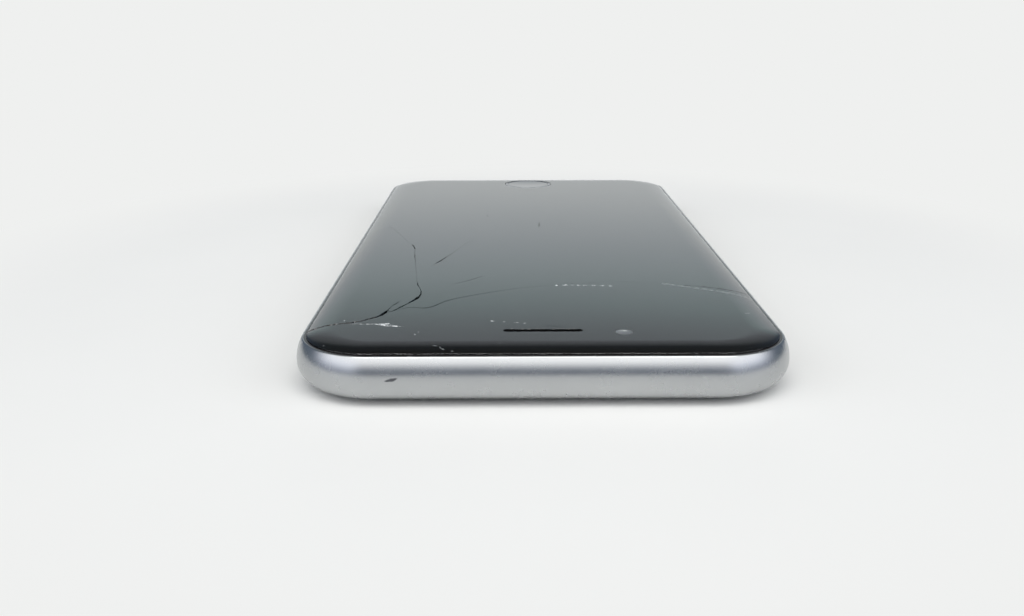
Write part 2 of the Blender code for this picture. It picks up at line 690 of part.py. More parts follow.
def make_bezel():
    """The plastic frame that carries the glass, with two lugs that the bottom screws hold."""
    skirt = BEZEL_INSET + BEZEL_SKIRT
    section = [(BEZEL_INSET, LEDGE_Z + FIT), (BEZEL_INSET, LIP_Z), (BEZEL_INSET + BEZEL_WALL, LIP_Z),
               (BEZEL_INSET + BEZEL_WALL, SHELF_TOP_Z), (BEZEL_SHELF_INSET, SHELF_TOP_Z),
               (BEZEL_SHELF_INSET, SHELF_LOW_Z), (skirt, SHELF_LOW_Z), (skirt, LEDGE_Z + FIT)]
    bezel = loft("display_bezel", body_rings(section), black_plastic(), capped=False)
    lug_low_z = PORT_Z - LUG_BELOW_SCREW
    for name, side in (("left", 1), ("right", -1)):
        x = side * SCREW_X
        join(bezel, block(f"lug_{name}", (x - LUG_WIDTH / 2, EDGE_Y - LUG_THICKNESS, lug_low_z),
                          (x + LUG_WIDTH / 2, EDGE_Y, SHELF_TOP_Z - BEZEL_SHELF / 2), radius=SMALL_CORNER))
        cut(bezel, extrude(f"lug_bore_{name}", circle(SCREW_SHANK_RADIUS + FIT, 3),
                           EDGE_Y - LUG_THICKNESS - OVERCUT, EDGE_Y + OVERCUT, axis="Y",
                           location=(x, 0, PORT_Z)))


def crack_point(point):
    """A crack's (across, along) shares as (x, y)."""
    across, along = point
    return across * (HALF_WIDTH - GLASS_INSET), (2 * along - 1) * HALF_LENGTH


def crack_ribbon(name, points):
    """A thin upright wall along a crack, which cuts the crack's gap into the glass."""
    line = [Vector(crack_point(point)) for point in points]
    runs = [(after - before).normalized() for before, after in zip(line, line[1:])]
    sides = []
    for before, after in zip([runs[0]] + runs, runs + [runs[-1]]):
        along = (before + after).normalized()
        sides.append(Vector((-along.y, along.x)) * CRACK_GAP / 2 / max(0.5, along.dot(after)))
    outline = [tuple(here + side) for here, side in zip(line, sides)]
    outline += [tuple(here - side) for here, side in reversed(list(zip(line, sides)))]
    return glass_cutter(name, outline)


def glass_cutter(name, outline, location=(0, 0, 0)):
    """A prism through the whole thickness of the glass."""
    return extrude(name, outline, GLASS_LOW_Z - OVERCUT, GLASS_TOP_Z + OVERCUT, location=location)


def glass_slab(name):
    """The whole cover glass: flat below, with its top edge curving down all round."""
    edge_z = GLASS_LOW_Z + GLASS_EDGE
    section = [(GLASS_INSET, GLASS_LOW_Z)]
    for step in range(GLASS_CURVE_STEPS + 1):
        angle = math.pi / 2 * step / GLASS_CURVE_STEPS
        section.append((GLASS_INSET + GLASS_CURVE_RUN * (1 - math.cos(angle)),
                        edge_z + (GLASS_TOP_Z - edge_z) * math.sin(angle)))
    return loft(name, body_rings(section), glass())


def shard_regions():
    """The outline of each shard, from the cracks' own points and from corners outside the glass."""
    start, middle, long, near, far = ([crack_point(point) for point in crack] for crack in (
        ACROSS_CRACK_START, ACROSS_CRACK_MIDDLE, LONG_CRACK, SLIVER_NEAR_CRACK, SLIVER_FAR_CRACK))
    right, left = start[0][0], near[-1][0]
    top, bottom = from_top(-OVERCUT), from_end(-OVERCUT)
    return {
        "glass_top": start + middle[1:] + near[1:] + [(left, top), (right, top)],
        "glass_right": start + long[1:],
        "glass_main": middle + far[1:] + [(left, bottom), (right, bottom)] + long[:0:-1],
        "glass_sliver": near + far[:0:-1],
    }


def make_glass():
    """The cover glass, in the four shards that its cracks leave."""
    ribbons = {name: crack_ribbon(name, points) for name, points in (
        ("crack_start", ACROSS_CRACK_START), ("crack_middle", ACROSS_CRACK_MIDDLE),
        ("crack_sliver_near", SLIVER_NEAR_CRACK), ("crack_sliver_far", SLIVER_FAR_CRACK),
        ("crack_long", LONG_CRACK), ("crack_short_spur", SHORT_SPUR),
        ("crack_far_branch", FAR_BRANCH), ("crack_far_spur", FAR_SPUR))}
    tools = {
        "glass_top": ("crack_start", "crack_middle", "crack_sliver_near"),
        "glass_right": ("crack_start", "crack_long", "crack_short_spur"),
        "glass_main": ("crack_middle", "crack_sliver_far", "crack_long", "crack_far_branch",
                       "crack_far_spur"),
        "glass_sliver": ("crack_middle", "crack_sliver_near", "crack_sliver_far"),
    }
    for name, outline in shard_regions().items():
        shard = glass_slab(name)
        apply_boolean(shard, glass_cutter(f"{name}_region", outline), "INTERSECT")
        cut(shard, *(ribbons[tool] for tool in tools[name]))
        if name == "glass_top":
            cut(shard, glass_cutter("slot_hole", pill(SLOT_LENGTH, SLOT_HEIGHT),
                                    (0, from_top(SLOT_FROM_TOP), 0)))
        if name == "glass_main":
            cut(shard, glass_cutter("home_hole", circle(HOME_RING_RADIUS + RUN, 8),
                                    (0, from_end(HOME_FROM_END), 0)))


def make_display():
    """The liquid crystal panel and the steel plate behind it."""
    half_x = HALF_WIDTH - PANEL_SIDE_INSET
    near, far = from_top(PANEL_FROM_END), from_end(PANEL_FROM_END)
    block("lcd_panel", (-half_x, near, PANEL_LOW_Z), (half_x, far, PANEL_TOP_Z),
          finish("lcd_stack", "#0E1013", 0.2))
    block("display_shield", (-half_x, near, SHIELD_LOW_Z), (half_x, far, SHIELD_TOP_Z), steel())


def make_earpiece_end():
    """The earpiece, the front camera, the proximity sensor and the flex that joins them."""
    slot_y = from_top(SLOT_FROM_TOP)
    mesh_low = SHELF_TOP_Z - MESH_FLANGE
    flange = pill(SLOT_LENGTH + 2 * MESH_MARGIN, SLOT_HEIGHT + 2 * MESH_MARGIN)
    mesh = pill(SLOT_LENGTH - 2 * SEAT, SLOT_HEIGHT - 2 * SEAT)
    steps_of("earpiece_mesh", ((flange, mesh_low), (flange, SHELF_TOP_Z), (mesh, SHELF_TOP_Z),
                               (mesh, GLASS_TOP_Z - MESH_SINK)), "Z", steel(), (0, slot_y, 0))
    low = SENSOR_FLEX_TOP_Z + SEAT
    block("earpiece_speaker", (-EARPIECE_LENGTH / 2, slot_y - EARPIECE_WIDTH / 2, low),
          (EARPIECE_LENGTH / 2, slot_y + EARPIECE_WIDTH / 2, mesh_low - SEAT), black_plastic())
    half = FRONT_CAMERA_SIZE / 2
    square = rounded_rectangle(half, half, SMALL_CORNER, 5)
    barrel = circle(FRONT_BARREL_RADIUS)
    top = GLASS_LOW_Z - FIT
    shoulder = top - FRONT_BARREL_LENGTH
    steps_of("front_camera", ((square, low), (square, shoulder), (barrel, shoulder), (barrel, top)), "Z",
             black_plastic(), (FRONT_CAMERA_X, from_top(FRONT_CAMERA_FROM_TOP), 0))
    block("proximity_sensor", (SENSOR_X - SENSOR_LENGTH / 2, slot_y - SENSOR_WIDTH / 2, low),
          (SENSOR_X + SENSOR_LENGTH / 2, slot_y + SENSOR_WIDTH / 2, GLASS_LOW_Z - SEAT), black_plastic(),
          SMALL_CORNER)
    right = SENSOR_X - SENSOR_LENGTH / 2 - SENSOR_FLEX_MARGIN
    left = FRONT_CAMERA_X + half + SENSOR_FLEX_MARGIN
    reach = EARPIECE_WIDTH / 2 + SENSOR_FLEX_MARGIN
    block("sensor_flex", (right, slot_y - reach, SENSOR_FLEX_Z), (left, slot_y + reach, SENSOR_FLEX_TOP_Z),
          flex_film())


def make_home_button():
    """The button and its trim ring, which travel together, then the gasket, bracket and switch."""
    centre = (0, from_end(HOME_FROM_END), 0)
    flange_top = SHELF_TOP_Z - GASKET_THICKNESS - FIT
    flange_low = flange_top - HOME_FLANGE
    rim_z = GLASS_TOP_Z - HOME_SINK
    profile = [(0, flange_low), (HOME_FLANGE_RADIUS, flange_low), (HOME_FLANGE_RADIUS, flange_top),
               (HOME_CAP_RADIUS, flange_top), (HOME_CAP_RADIUS, rim_z)]
    for share in (0.75, 0.5, 0.25, 0):
        profile.append((HOME_CAP_RADIUS * share, rim_z - HOME_DISH * (1 - share ** 2)))
    turn("home_button", profile, glass(), centre, steps=32)
    inner, outer = HOME_CAP_RADIUS + FIT, HOME_RING_RADIUS
    low, high = flange_top + FIT, rim_z + HOME_SINK / 2
    turn("home_button_ring", [(inner, low), (outer, low), (outer, high - HOME_RING_CHAMFER),
                              (outer - HOME_RING_CHAMFER, high), (inner, high - HOME_RING_CHAMFER)],
         finish("dark_steel_ring", "#5C5E63", 0.3, 1.0), centre, steps=32, closed=True)
    inner, outer = HOME_RING_RADIUS + RUN, HOME_FLANGE_RADIUS + HOME_GAP
    turn("home_button_gasket", [(inner, flange_top + FIT), (outer, flange_top + FIT), (outer, SHELF_TOP_Z),
                                (inner, SHELF_TOP_Z)], rubber(), centre, steps=32, closed=True)
    half = BRACKET_WIDTH / 2
    block("home_button_bracket", (-half, from_end(PANEL_FROM_END + BRACKET_END_GAP),
                                  BRACKET_TOP_Z - BRACKET_THICKNESS),
          (half, from_end(BEZEL_SHELF_INSET + BRACKET_END_GAP), BRACKET_TOP_Z), steel())
    tip_z = flange_low - HOME_TRAVEL - FIT
    turn("home_button_switch", [(0, BRACKET_TOP_Z + FIT), (HOME_SWITCH_RADIUS, BRACKET_TOP_Z + FIT),
                                (HOME_SWITCH_RADIUS, BRACKET_TOP_Z + FIT + HOME_SWITCH_RIM),
                                (HOME_SWITCH_TIP, tip_z), (0, tip_z)], steel(), centre, steps=16)


def make_push_button(name, side, distance, length):
    """A side button: a pill that stands proud of the wall, with a flange inside that keeps it in.
    Its origin is on its travel's axis, where that leaves the wall."""
    margin = 2 * BUTTON_FLANGE_MARGIN
    flange = pill(length + margin, BUTTON_HEIGHT + margin)
    shank = pill(length, BUTTON_HEIGHT)
    crown = pill(length - 2 * BUTTON_CHAMFER, BUTTON_HEIGHT - 2 * BUTTON_CHAMFER)
    shapes = ((flange, -FLANGE_INSET - BUTTON_FLANGE), (flange, -FLANGE_INSET), (shank, -FLANGE_INSET),
              (shank, BUTTON_PROUD - BUTTON_CHAMFER), (crown, BUTTON_PROUD))
    steps_of(name, [(outline, side * level) for outline, level in shapes], "X", anodised(),
             (side * HALF_WIDTH, from_top(distance), WIDEST_Z))


def switch_face_x():
    """How far from the middle the face of a switch block stands, behind a fully pressed button."""
    return HALF_WIDTH - FLANGE_INSET - BUTTON_FLANGE - BUTTON_TRAVEL - FIT - DOME_HEIGHT


def switch_dome(name, side, y):
    """The dome that a pressed button snaps. It starts in the middle of its block."""
    face = switch_face_x()
    return extrude(name, circle(DOME_RADIUS, 4), side * (face - SWITCH_THICKNESS / 2),
                   side * (face + DOME_HEIGHT), axis="X", location=(0, y, WIDEST_Z))


def make_side_buttons():
    """The power and volume buttons with their switches."""
    make_push_button("power_button", -1, POWER_FROM_TOP, POWER_LENGTH)
    make_push_button("volume_up_button", 1, VOLUME_UP_FROM_TOP, VOLUME_LENGTH)
    make_push_button("volume_down_button", 1, VOLUME_DOWN_FROM_TOP, VOLUME_LENGTH)
    face = switch_face_x()
    low = FLOOR_Z + SEAT
    power_y, reach = from_top(POWER_FROM_TOP), POWER_LENGTH / 2
    power = block("power_button_switch", (-face, power_y - reach, low),
                  (SWITCH_THICKNESS - face, power_y + reach, SWITCH_TOP_Z), black_plastic(), SMALL_CORNER)
    join(power, switch_dome("power_dome", -1, power_y))
    near, far = from_top(VOLUME_UP_FROM_TOP), from_top(VOLUME_DOWN_FROM_TOP)
    reach = VOLUME_LENGTH / 2 + SWITCH_MARGIN
    volume = block("volume_button_switches", (face - SWITCH_THICKNESS, near - reach, low),
                   (face, far + reach, SWITCH_TOP_Z), black_plastic(), SMALL_CORNER)
    join(volume, switch_dome("volume_up_dome", 1, near), switch_dome("volume_down_dome", 1, far))


def make_mute_switch():
    """The mute slider, which stands at its screen-side stop, and the block that it switches."""
    y = from_top(MUTE_FROM_TOP)
    flange = rounded_rectangle(MUTE_LENGTH / 2 + MUTE_FLANGE_SIDE, MUTE_HEIGHT / 2 + MUTE_FLANGE_TOP,
                               MUTE_CORNER)
    tab = rounded_rectangle(MUTE_LENGTH / 2, MUTE_HEIGHT / 2, MUTE_CORNER)
    steps_of("mute_switch", ((flange, -FLANGE_INSET - MUTE_FLANGE), (flange, -FLANGE_INSET),
                             (tab, -FLANGE_INSET), (tab, -MUTE_RECESS)), "X", anodised(),
             (HALF_WIDTH, y, WIDEST_Z + MUTE_TRAVEL / 2))
    face = HALF_WIDTH - FLANGE_INSET - MUTE_FLANGE - RUN
    reach = MUTE_LENGTH / 2 + MUTE_BODY_MARGIN
    block("mute_switch_body", (face - MUTE_BODY_DEPTH, y - reach, FLOOR_Z + SEAT),
          (face, y + reach, SWITCH_TOP_Z), black_plastic(), SMALL_CORNER)


def make_card_tray():
    """The card tray with its card, and the reader's cage round them on the board."""
    y = from_top(TRAY_FROM_TOP)
    tray = extrude("sim_tray", pill(TRAY_LENGTH, TRAY_HEIGHT), -TRAY_PROUD, -TRAY_PROUD + TRAY_FACE,
                   anodised(), (-HALF_WIDTH, y, WIDEST_Z), axis="X")
    frame_low, frame_high = WIDEST_Z - TRAY_FRAME / 2, WIDEST_Z + TRAY_FRAME / 2
    start = TRAY_FACE - TRAY_PROUD - HALF_WIDTH
    end = start + TRAY_DEPTH
    join(tray, block("tray_frame", (start - TRAY_CORNER, y - TRAY_FRAME_SIDE, frame_low),
                     (end, y + TRAY_PIN_SIDE, frame_high)))
    middle_x, middle_y = (start + end) / 2, y + (TRAY_PIN_SIDE - TRAY_FRAME_SIDE) / 2
    card_low = frame_high - CARD_THICKNESS - FIT
    half_x, half_y = CARD_LENGTH / 2, CARD_WIDTH / 2
    pocket_x, pocket_y = half_x + SEAT, half_y + SEAT
    window_x, window_y = half_x - TRAY_WINDOW_RIM, half_y - TRAY_WINDOW_RIM
    cut(tray,
        block("card_pocket", (middle_x - pocket_x, middle_y - pocket_y, card_low - FIT),
              (middle_x + pocket_x, middle_y + pocket_y, frame_high + OVERCUT), radius=TRAY_CORNER),
        block("card_window", (middle_x - window_x, middle_y - window_y, frame_low - OVERCUT),
              (middle_x + window_x, middle_y + window_y, frame_high), radius=TRAY_CORNER),
        extrude("pin_hole", circle(PIN_HOLE_RADIUS, 3), -OVERCUT, TRAY_FACE + OVERCUT, axis="X",
                location=(-HALF_WIDTH, y + PIN_HOLE_OFFSET, WIDEST_Z)))
    block("sim_card", (middle_x - half_x, middle_y - half_y, card_low),
          (middle_x + half_x, middle_y + half_y, card_low + CARD_THICKNESS), gold(), TRAY_CORNER)
    cage_low, cage_high = BOARD_TOP_Z + SEAT, SHIELD_LOW_Z - 3 * SEAT
    cage_end = end + TRAY_END_GAP
    reader = block("sim_reader", (BOARD_FAR_X, y - READER_HALF_WIDTH, cage_low),
                   (cage_end, y + READER_HALF_WIDTH, cage_high), steel(), SMALL_CORNER)
    cut(reader, block("reader_room", (BOARD_FAR_X - OVERCUT, y - READER_HALF_WIDTH + READER_WALL,
                                      cage_low + READER_WALL),
                      (cage_end - READER_WALL, y + READER_HALF_WIDTH - READER_WALL, cage_high - READER_WALL),
                      radius=SMALL_CORNER))


def make_rear_camera():
    """The proud ring with its cover, and the camera with its focusing barrel."""
    centre = (CAMERA_X, from_top(CAMERA_FROM_TOP), 0)
    ring_top = FLOOR_Z - FIT
    cover_top = CAMERA_COVER_SINK + CAMERA_COVER
    bore = CAMERA_COVER_RADIUS + FIT
    throat = bore - CAMERA_SEAT_WIDTH
    turn("camera_ring", [(bore, 0), (CAMERA_RING_RADIUS - CAMERA_RING_CHAMFER, 0),
                         (CAMERA_RING_RADIUS, CAMERA_RING_CHAMFER), (CAMERA_RING_RADIUS, ring_top),
                         (throat, ring_top), (throat, cover_top + FIT), (bore, cover_top + FIT)],
         anodised(), centre, steps=32, closed=True)
    turn("camera_lens_cover", [(0, CAMERA_COVER_SINK), (CAMERA_COVER_RADIUS, CAMERA_COVER_SINK),
                               (CAMERA_COVER_RADIUS, cover_top), (0, cover_top)],
         clear_lens(), centre, steps=32)
    body_low = ring_top + SEAT
    barrel_low = body_low + SEAT
    barrel_top = barrel_low + BARREL_LENGTH
    barrel_radius = throat - BARREL_GAP
    half = CAMERA_BODY_SIZE / 2
    square = rounded_rectangle(half, half, SMALL_CORNER, 5)
    room = circle(barrel_radius + RUN)
    steps_of("rear_camera_body", ((square, body_low + CAMERA_BODY_HEIGHT), (square, body_low),
                                  (room, body_low), (room, barrel_top + SEAT)), "Z",
             black_plastic(), centre)
    turn("camera_focus_barrel", [(0, barrel_low + LENS_SINK), (LENS_RADIUS, barrel_low + LENS_SINK),
                                 (barrel_radius - BARREL_RIM, barrel_low), (barrel_radius, barrel_low),
                                 (barrel_radius, barrel_top), (0, barrel_top)], clear_lens(), centre)


def make_flash_and_microphone():
    """The flash and the rear microphone, which look out of the back beside the camera."""
    y = from_top(CAMERA_FROM_TOP)
    flash_x = CAMERA_X + FLASH_FROM_CAMERA
    lens_top = FLOOR_Z - SEAT
    turn("flash_lens", [(0, BACK_Z), (FLASH_RADIUS, BACK_Z), (FLASH_RADIUS, lens_top), (0, lens_top)],
         finish("frosted_flash_lens", "#E9E2C4", 0.3), (flash_x, y, 0))
    low, high = FLOOR_Z + FIT, BOARD_LOW_Z - SEAT
    half = FLASH_LED_SIZE / 2
    block("flash_led", (flash_x - half, y - half, low), (flash_x + half, y + half, high), gold(),
          SMALL_CORNER)
    mic_x = CAMERA_X + REAR_MIC_FROM_CAMERA
    block("rear_microphone", (mic_x - REAR_MIC_WIDTH / 2, y - REAR_MIC_LENGTH / 2, low),
          (mic_x + REAR_MIC_WIDTH / 2, y + REAR_MIC_LENGTH / 2, high), gold(), SMALL_CORNER)


def make_bottom_edge():
    """The port, the jack, the microphone, the screws and the loudspeaker at the home edge."""
    back_y = EDGE_Y - PORT_DEPTH
    end_y = back_y + PORT_BACK_WALL
    outer = pill(PORT_SLOT_WIDTH + 2 * PORT_WALL, PORT_SLOT_HEIGHT + 2 * PORT_WALL)
    inner = pill(PORT_SLOT_WIDTH, PORT_SLOT_HEIGHT)
    steps_of("charge_port", ((outer, back_y), (outer, EDGE_Y), (inner, EDGE_Y), (inner, end_y)), "Y",
             steel(), (0, 0, PORT_Z))
    tongue_y = end_y + FIT
    block("charge_port_tongue", (-TONGUE_WIDTH / 2, tongue_y, PORT_Z - TONGUE_THICKNESS / 2),
          (TONGUE_WIDTH / 2, tongue_y + TONGUE_LENGTH, PORT_Z + TONGUE_THICKNESS / 2), black_plastic(),
          SMALL_CORNER)
    frame = rounded_rectangle(JACK_WIDTH / 2, JACK_HEIGHT / 2, SMALL_CORNER, 5)
    bore = circle(JACK_BORE_RADIUS)
    steps_of("headphone_jack", ((frame, back_y), (frame, EDGE_Y), (bore, EDGE_Y), (bore, end_y)), "Y",
             black_plastic(), (JACK_X, 0, JACK_Z))
    block("bottom_microphone", (MIC_X - MIC_WIDTH / 2, EDGE_Y - MIC_DEPTH, PORT_Z - MIC_HEIGHT / 2),
          (MIC_X + MIC_WIDTH / 2, EDGE_Y, PORT_Z + MIC_HEIGHT / 2), gold(), SMALL_CORNER)
    make_bottom_screw("bottom_screw_left", SCREW_X)
    make_bottom_screw("bottom_screw_right", -SCREW_X)
    make_loudspeaker()


def make_bottom_screw(name, x):
    face_y = from_end(SCREW_SINK)
    neck_y = face_y - SCREW_HEAD
    turn(name, [(0, face_y - SCREW_SOCKET_DEPTH), (SCREW_SOCKET_RADIUS, face_y - SCREW_SOCKET_DEPTH),
                (SCREW_SOCKET_RADIUS, face_y), (SCREW_HEAD_RADIUS, face_y), (SCREW_HEAD_RADIUS, neck_y),
                (SCREW_SHANK_RADIUS, neck_y), (SCREW_SHANK_RADIUS, face_y - SCREW_LENGTH),
                (0, face_y - SCREW_LENGTH)], anodised(), (x, 0, PORT_Z), axis="Y", steps=12)


def make_loudspeaker():
    """The loudspeaker's box, rounded where the housing's corner is, and the mesh before it."""
    mesh_y = EDGE_Y - SPEAKER_MESH
    box_y = mesh_y - SEAT
    right, left = SPEAKER_SIDE_GAP - CAVITY_X, -SCREW_X - LUG_WIDTH / 2 - SPEAKER_LUG_GAP
    near = box_y - SPEAKER_DEPTH
    radius = CORNER_RADIUS - WALL - SPEAKER_CORNER_GAP
    steps = 5
    corner = []
    for i in range(steps + 1):
        angle = math.pi / 2 * i / steps
        corner.append((right + radius - radius * math.sin(angle), box_y - radius + radius * math.cos(angle)))
    low = FLOOR_Z + CAVITY_CHAMFER + SEAT
    extrude("loudspeaker", [(left, near), (left, box_y)] + corner + [(right, near)], low,
            low + SPEAKER_HEIGHT, black_plastic())
    half = SPEAKER_MESH_HEIGHT / 2
    block("loudspeaker_mesh", (-ROW_END, mesh_y, PORT_Z - half), (left, EDGE_Y, PORT_Z + half),
          black_plastic())


def make_board():
    """The L-shaped board with its shields and the connectors' cover."""
    start, end = from_top(BOARD_FROM_TOP), from_end(BOARD_FROM_END)
    bar_y = from_top(BOARD_BAR_FROM_TOP)
    outline = [(BOARD_FAR_X, start), (BAR_FAR_X, start), (BAR_FAR_X, bar_y), (BAR_NEAR_X, bar_y),
               (BAR_NEAR_X, start), (BOARD_NEAR_X, start), (BOARD_NEAR_X, end), (BOARD_FAR_X, end)]
    extrude("logic_board", outline, BOARD_LOW_Z, BOARD_TOP_Z, board_resin())
    low_x, high_x = BOARD_FAR_X + BOARD_RIM, BOARD_NEAR_X - BOARD_RIM
    near, far = start + SHIELD_END_GAP, end - SHIELD_END_GAP
    tray_y = from_top(TRAY_FROM_TOP)
    block("board_lower_shield", (low_x, near, FLOOR_Z + SEAT), (high_x, far, BOARD_LOW_Z - SEAT), steel())
    block("processor_shield", (low_x, near, BOARD_SHIELD_Z),
          (high_x, tray_y - READER_HALF_WIDTH - BOARD_RIM, BOARD_SHIELD_TOP_Z), steel())
    block("radio_shield", (low_x, tray_y + READER_HALF_WIDTH + BOARD_RIM, BOARD_SHIELD_Z),
          (high_x, far, BOARD_SHIELD_TOP_Z), steel())
    middle = (BAR_FAR_X + BAR_NEAR_X) / 2
    block("display_connector_cover", (middle - COVER_LENGTH / 2, bar_y + BOARD_RIM, BOARD_SHIELD_Z),
          (middle + COVER_LENGTH / 2, start - SHIELD_END_GAP, BOARD_SHIELD_TOP_Z), steel())


def make_battery():
    """The battery cell on its two pull tapes, and the tab that plugs into the board."""
    near, far = from_top(BATTERY_FROM_TOP), from_end(BATTERY_FROM_END)
    tape_low, tape_top = FLOOR_Z + FIT, FLOOR_Z + FIT + TAPE_THICKNESS
    block("battery", (BATTERY_FAR_X, near, tape_top + FIT),
          (BATTERY_NEAR_X, far, SHIELD_LOW_Z - BATTERY_ROOM), battery_foil(), BATTERY_CORNER)
    for name, x in (("battery_tape_right", BATTERY_FAR_X + TAPE_INSET),
                    ("battery_tape_left", BATTERY_NEAR_X - TAPE_INSET - TAPE_WIDTH)):
        block(name, (x, near + TAPE_INSET, tape_low), (x + TAPE_WIDTH, far - TAPE_INSET, tape_top),
              finish("pull_tape", "#E6E6E2", 0.7))
    tab_y, tab_x, tab_z = from_top(TRAY_FROM_TOP), BATTERY_FAR_X - FIT, BOARD_TOP_Z + FIT
    block("battery_connector_tab", (tab_x - TAB_LENGTH, tab_y - TAB_WIDTH / 2, tab_z),
          (tab_x, tab_y + TAB_WIDTH / 2, tab_z + TAB_THICKNESS), flex_film(), SMALL_CORNER)


def make_flexes():
    """The flat flex that serves the home edge, and the moulded antenna at the earpiece end."""
    low = FLOOR_Z + FIT
    far = from_end(DOCK_FLEX_FROM_END)
    near = far - DOCK_FLEX_WIDTH
    right, left = BOARD_NEAR_X + DOCK_FLEX_LANE_GAP, BATTERY_FAR_X - DOCK_FLEX_LANE_GAP
    start, end_x = from_end(BOARD_FROM_END), BATTERY_NEAR_X - DOCK_FLEX_END_GAP
    outline = [(right, start), (left, start), (left, near), (end_x, near), (end_x, far), (right, far)]
    extrude("dock_flex", outline, low, low + DOCK_FLEX, flex_film())
    y = from_top(CAMERA_FROM_TOP)
    block("wifi_antenna", (BAR_NEAR_X + ANTENNA_GAP, y - ANTENNA_WIDTH / 2, FLOOR_Z + SEAT),
          (CAVITY_X - ANTENNA_WALL_GAP, y + ANTENNA_WIDTH / 2, FLOOR_Z + SEAT + ANTENNA_THICKNESS),
          black_plastic(), ANTENNA_CORNER)


def make_vibration_motor():
    """The motor in its cradle, and the shaft with the off-centre weight, which hangs down at rest."""
    y = from_end(MOTOR_FROM_END)
    bore = SHAFT_RADIUS + FIT
    bore_start = MOTOR_LENGTH - SHAFT_IN_MOTOR - SHAFT_END_GAP
    turn("vibration_motor", [(0, 0), (MOTOR_RADIUS, 0), (MOTOR_RADIUS, MOTOR_LENGTH), (bore, MOTOR_LENGTH),
                             (bore, bore_start), (0, bore_start)], steel(), (MOTOR_FAR_X, y, MOTOR_Z),
         axis="X", steps=20)
    shaft_start = MOTOR_FAR_X + MOTOR_LENGTH - SHAFT_IN_MOTOR
    turn("motor_shaft", [(0, 0), (SHAFT_RADIUS, 0), (SHAFT_RADIUS, SHAFT_LENGTH), (0, SHAFT_LENGTH)],
         steel(), (shaft_start, y, MOTOR_Z), axis="X", steps=12)
    weight_start = shaft_start + SHAFT_LENGTH - WEIGHT_LENGTH - SHAFT_PAST_WEIGHT
    outline = arc(WEIGHT_RADIUS, 190, 350, 10) + arc(WEIGHT_HUB_RADIUS, 10, 170, 8)
    weight = extrude("vibration_weight", outline, 0, WEIGHT_LENGTH,
                     finish("tungsten_weight", "#6E6C6A", 0.4, 1.0), (weight_start, y, MOTOR_Z), axis="X")
    cut(weight, rod("weight_bore", bore, weight_start, WEIGHT_LENGTH, y, 12))
    cradle = block("motor_cradle", (MOTOR_FAR_X + CRADLE_END_GAP, y - CRADLE_WIDTH / 2, FLOOR_Z + SEAT),
                   (MOTOR_FAR_X + MOTOR_LENGTH - CRADLE_END_GAP, y + CRADLE_WIDTH / 2,
                    MOTOR_Z - CRADLE_BELOW_AXIS), rubber())
    cut(cradle, rod("cradle_channel", MOTOR_RADIUS + FIT, MOTOR_FAR_X, MOTOR_LENGTH, y, 20))


def arc(radius, start, end, steps):
    """Points on an arc about the origin, between two angles in degrees."""
    angles = [math.radians(start + (end - start) * i / steps) for i in range(steps + 1)]
    return [(radius * math.cos(angle), radius * math.sin(angle)) for angle in angles]


def rod(name, radius, start, length, y, steps):
    """A cutter along the motor's axis, which runs past both ends of what it cuts."""
    low, high = -OVERCUT, length + OVERCUT
    return turn(name, [(0, low), (radius, low), (radius, high), (0, high)], None, (start, y, MOTOR_Z),
                axis="X", steps=steps)


def parent_all():
    """One empty carries every piece, so that the phone can be moved as a whole."""
    phone = bpy.data.objects.new("phone", None)
    bpy.context.scene.collection.objects.link(phone)
    for piece in bpy.context.scene.objects:
        if piece is not phone:
            piece.parent = phone


def main():
    for old in list(bpy.data.objects):
        bpy.data.objects.remove(old)
    make_housing()
    make_bands()
    make_bezel()
    make_glass()
    make_display()
    make_earpiece_end()
    make_home_button()
    make_side_buttons()
    make_mute_switch()
    make_card_tray()
    make_rear_camera()
    make_flash_and_microphone()
    make_bottom_edge()
    make_board()
    make_battery()
    make_flexes()
    make_vibration_motor()
    parent_all()


main()
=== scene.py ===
"""The looks of a slab phone that lies on its back with a shattered cover glass. It is laid out as an
add-on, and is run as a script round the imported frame."""

import math
import random

import bmesh
import bpy
from bpy.props import FloatProperty, FloatVectorProperty, PointerProperty
from mathutils import Matrix, Vector


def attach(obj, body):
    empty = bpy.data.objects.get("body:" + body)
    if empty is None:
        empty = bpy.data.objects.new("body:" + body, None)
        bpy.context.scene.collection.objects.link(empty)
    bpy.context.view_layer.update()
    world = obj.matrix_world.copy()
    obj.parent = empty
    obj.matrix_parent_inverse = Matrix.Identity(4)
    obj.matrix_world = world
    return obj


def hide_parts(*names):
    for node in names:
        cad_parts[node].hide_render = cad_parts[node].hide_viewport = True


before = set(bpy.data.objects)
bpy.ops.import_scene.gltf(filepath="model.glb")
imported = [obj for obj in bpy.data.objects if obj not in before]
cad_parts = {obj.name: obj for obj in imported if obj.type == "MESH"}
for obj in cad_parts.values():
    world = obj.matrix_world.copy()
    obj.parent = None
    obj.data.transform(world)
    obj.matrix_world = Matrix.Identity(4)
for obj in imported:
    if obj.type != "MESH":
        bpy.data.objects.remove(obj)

bl_info = {
    "name": "Shattered slab phone",
    "version": (1, 0, 0),
    "blender": (4, 5, 0),
    "location": "3D View > Sidebar > Phone",
    "description": "Dresses the packed phone in its real shapes and finishes",
    "category": "Object",
}

# Lengths are in metres. TINY is one that counts as nothing
MM = 0.001
TINY = 1e-7

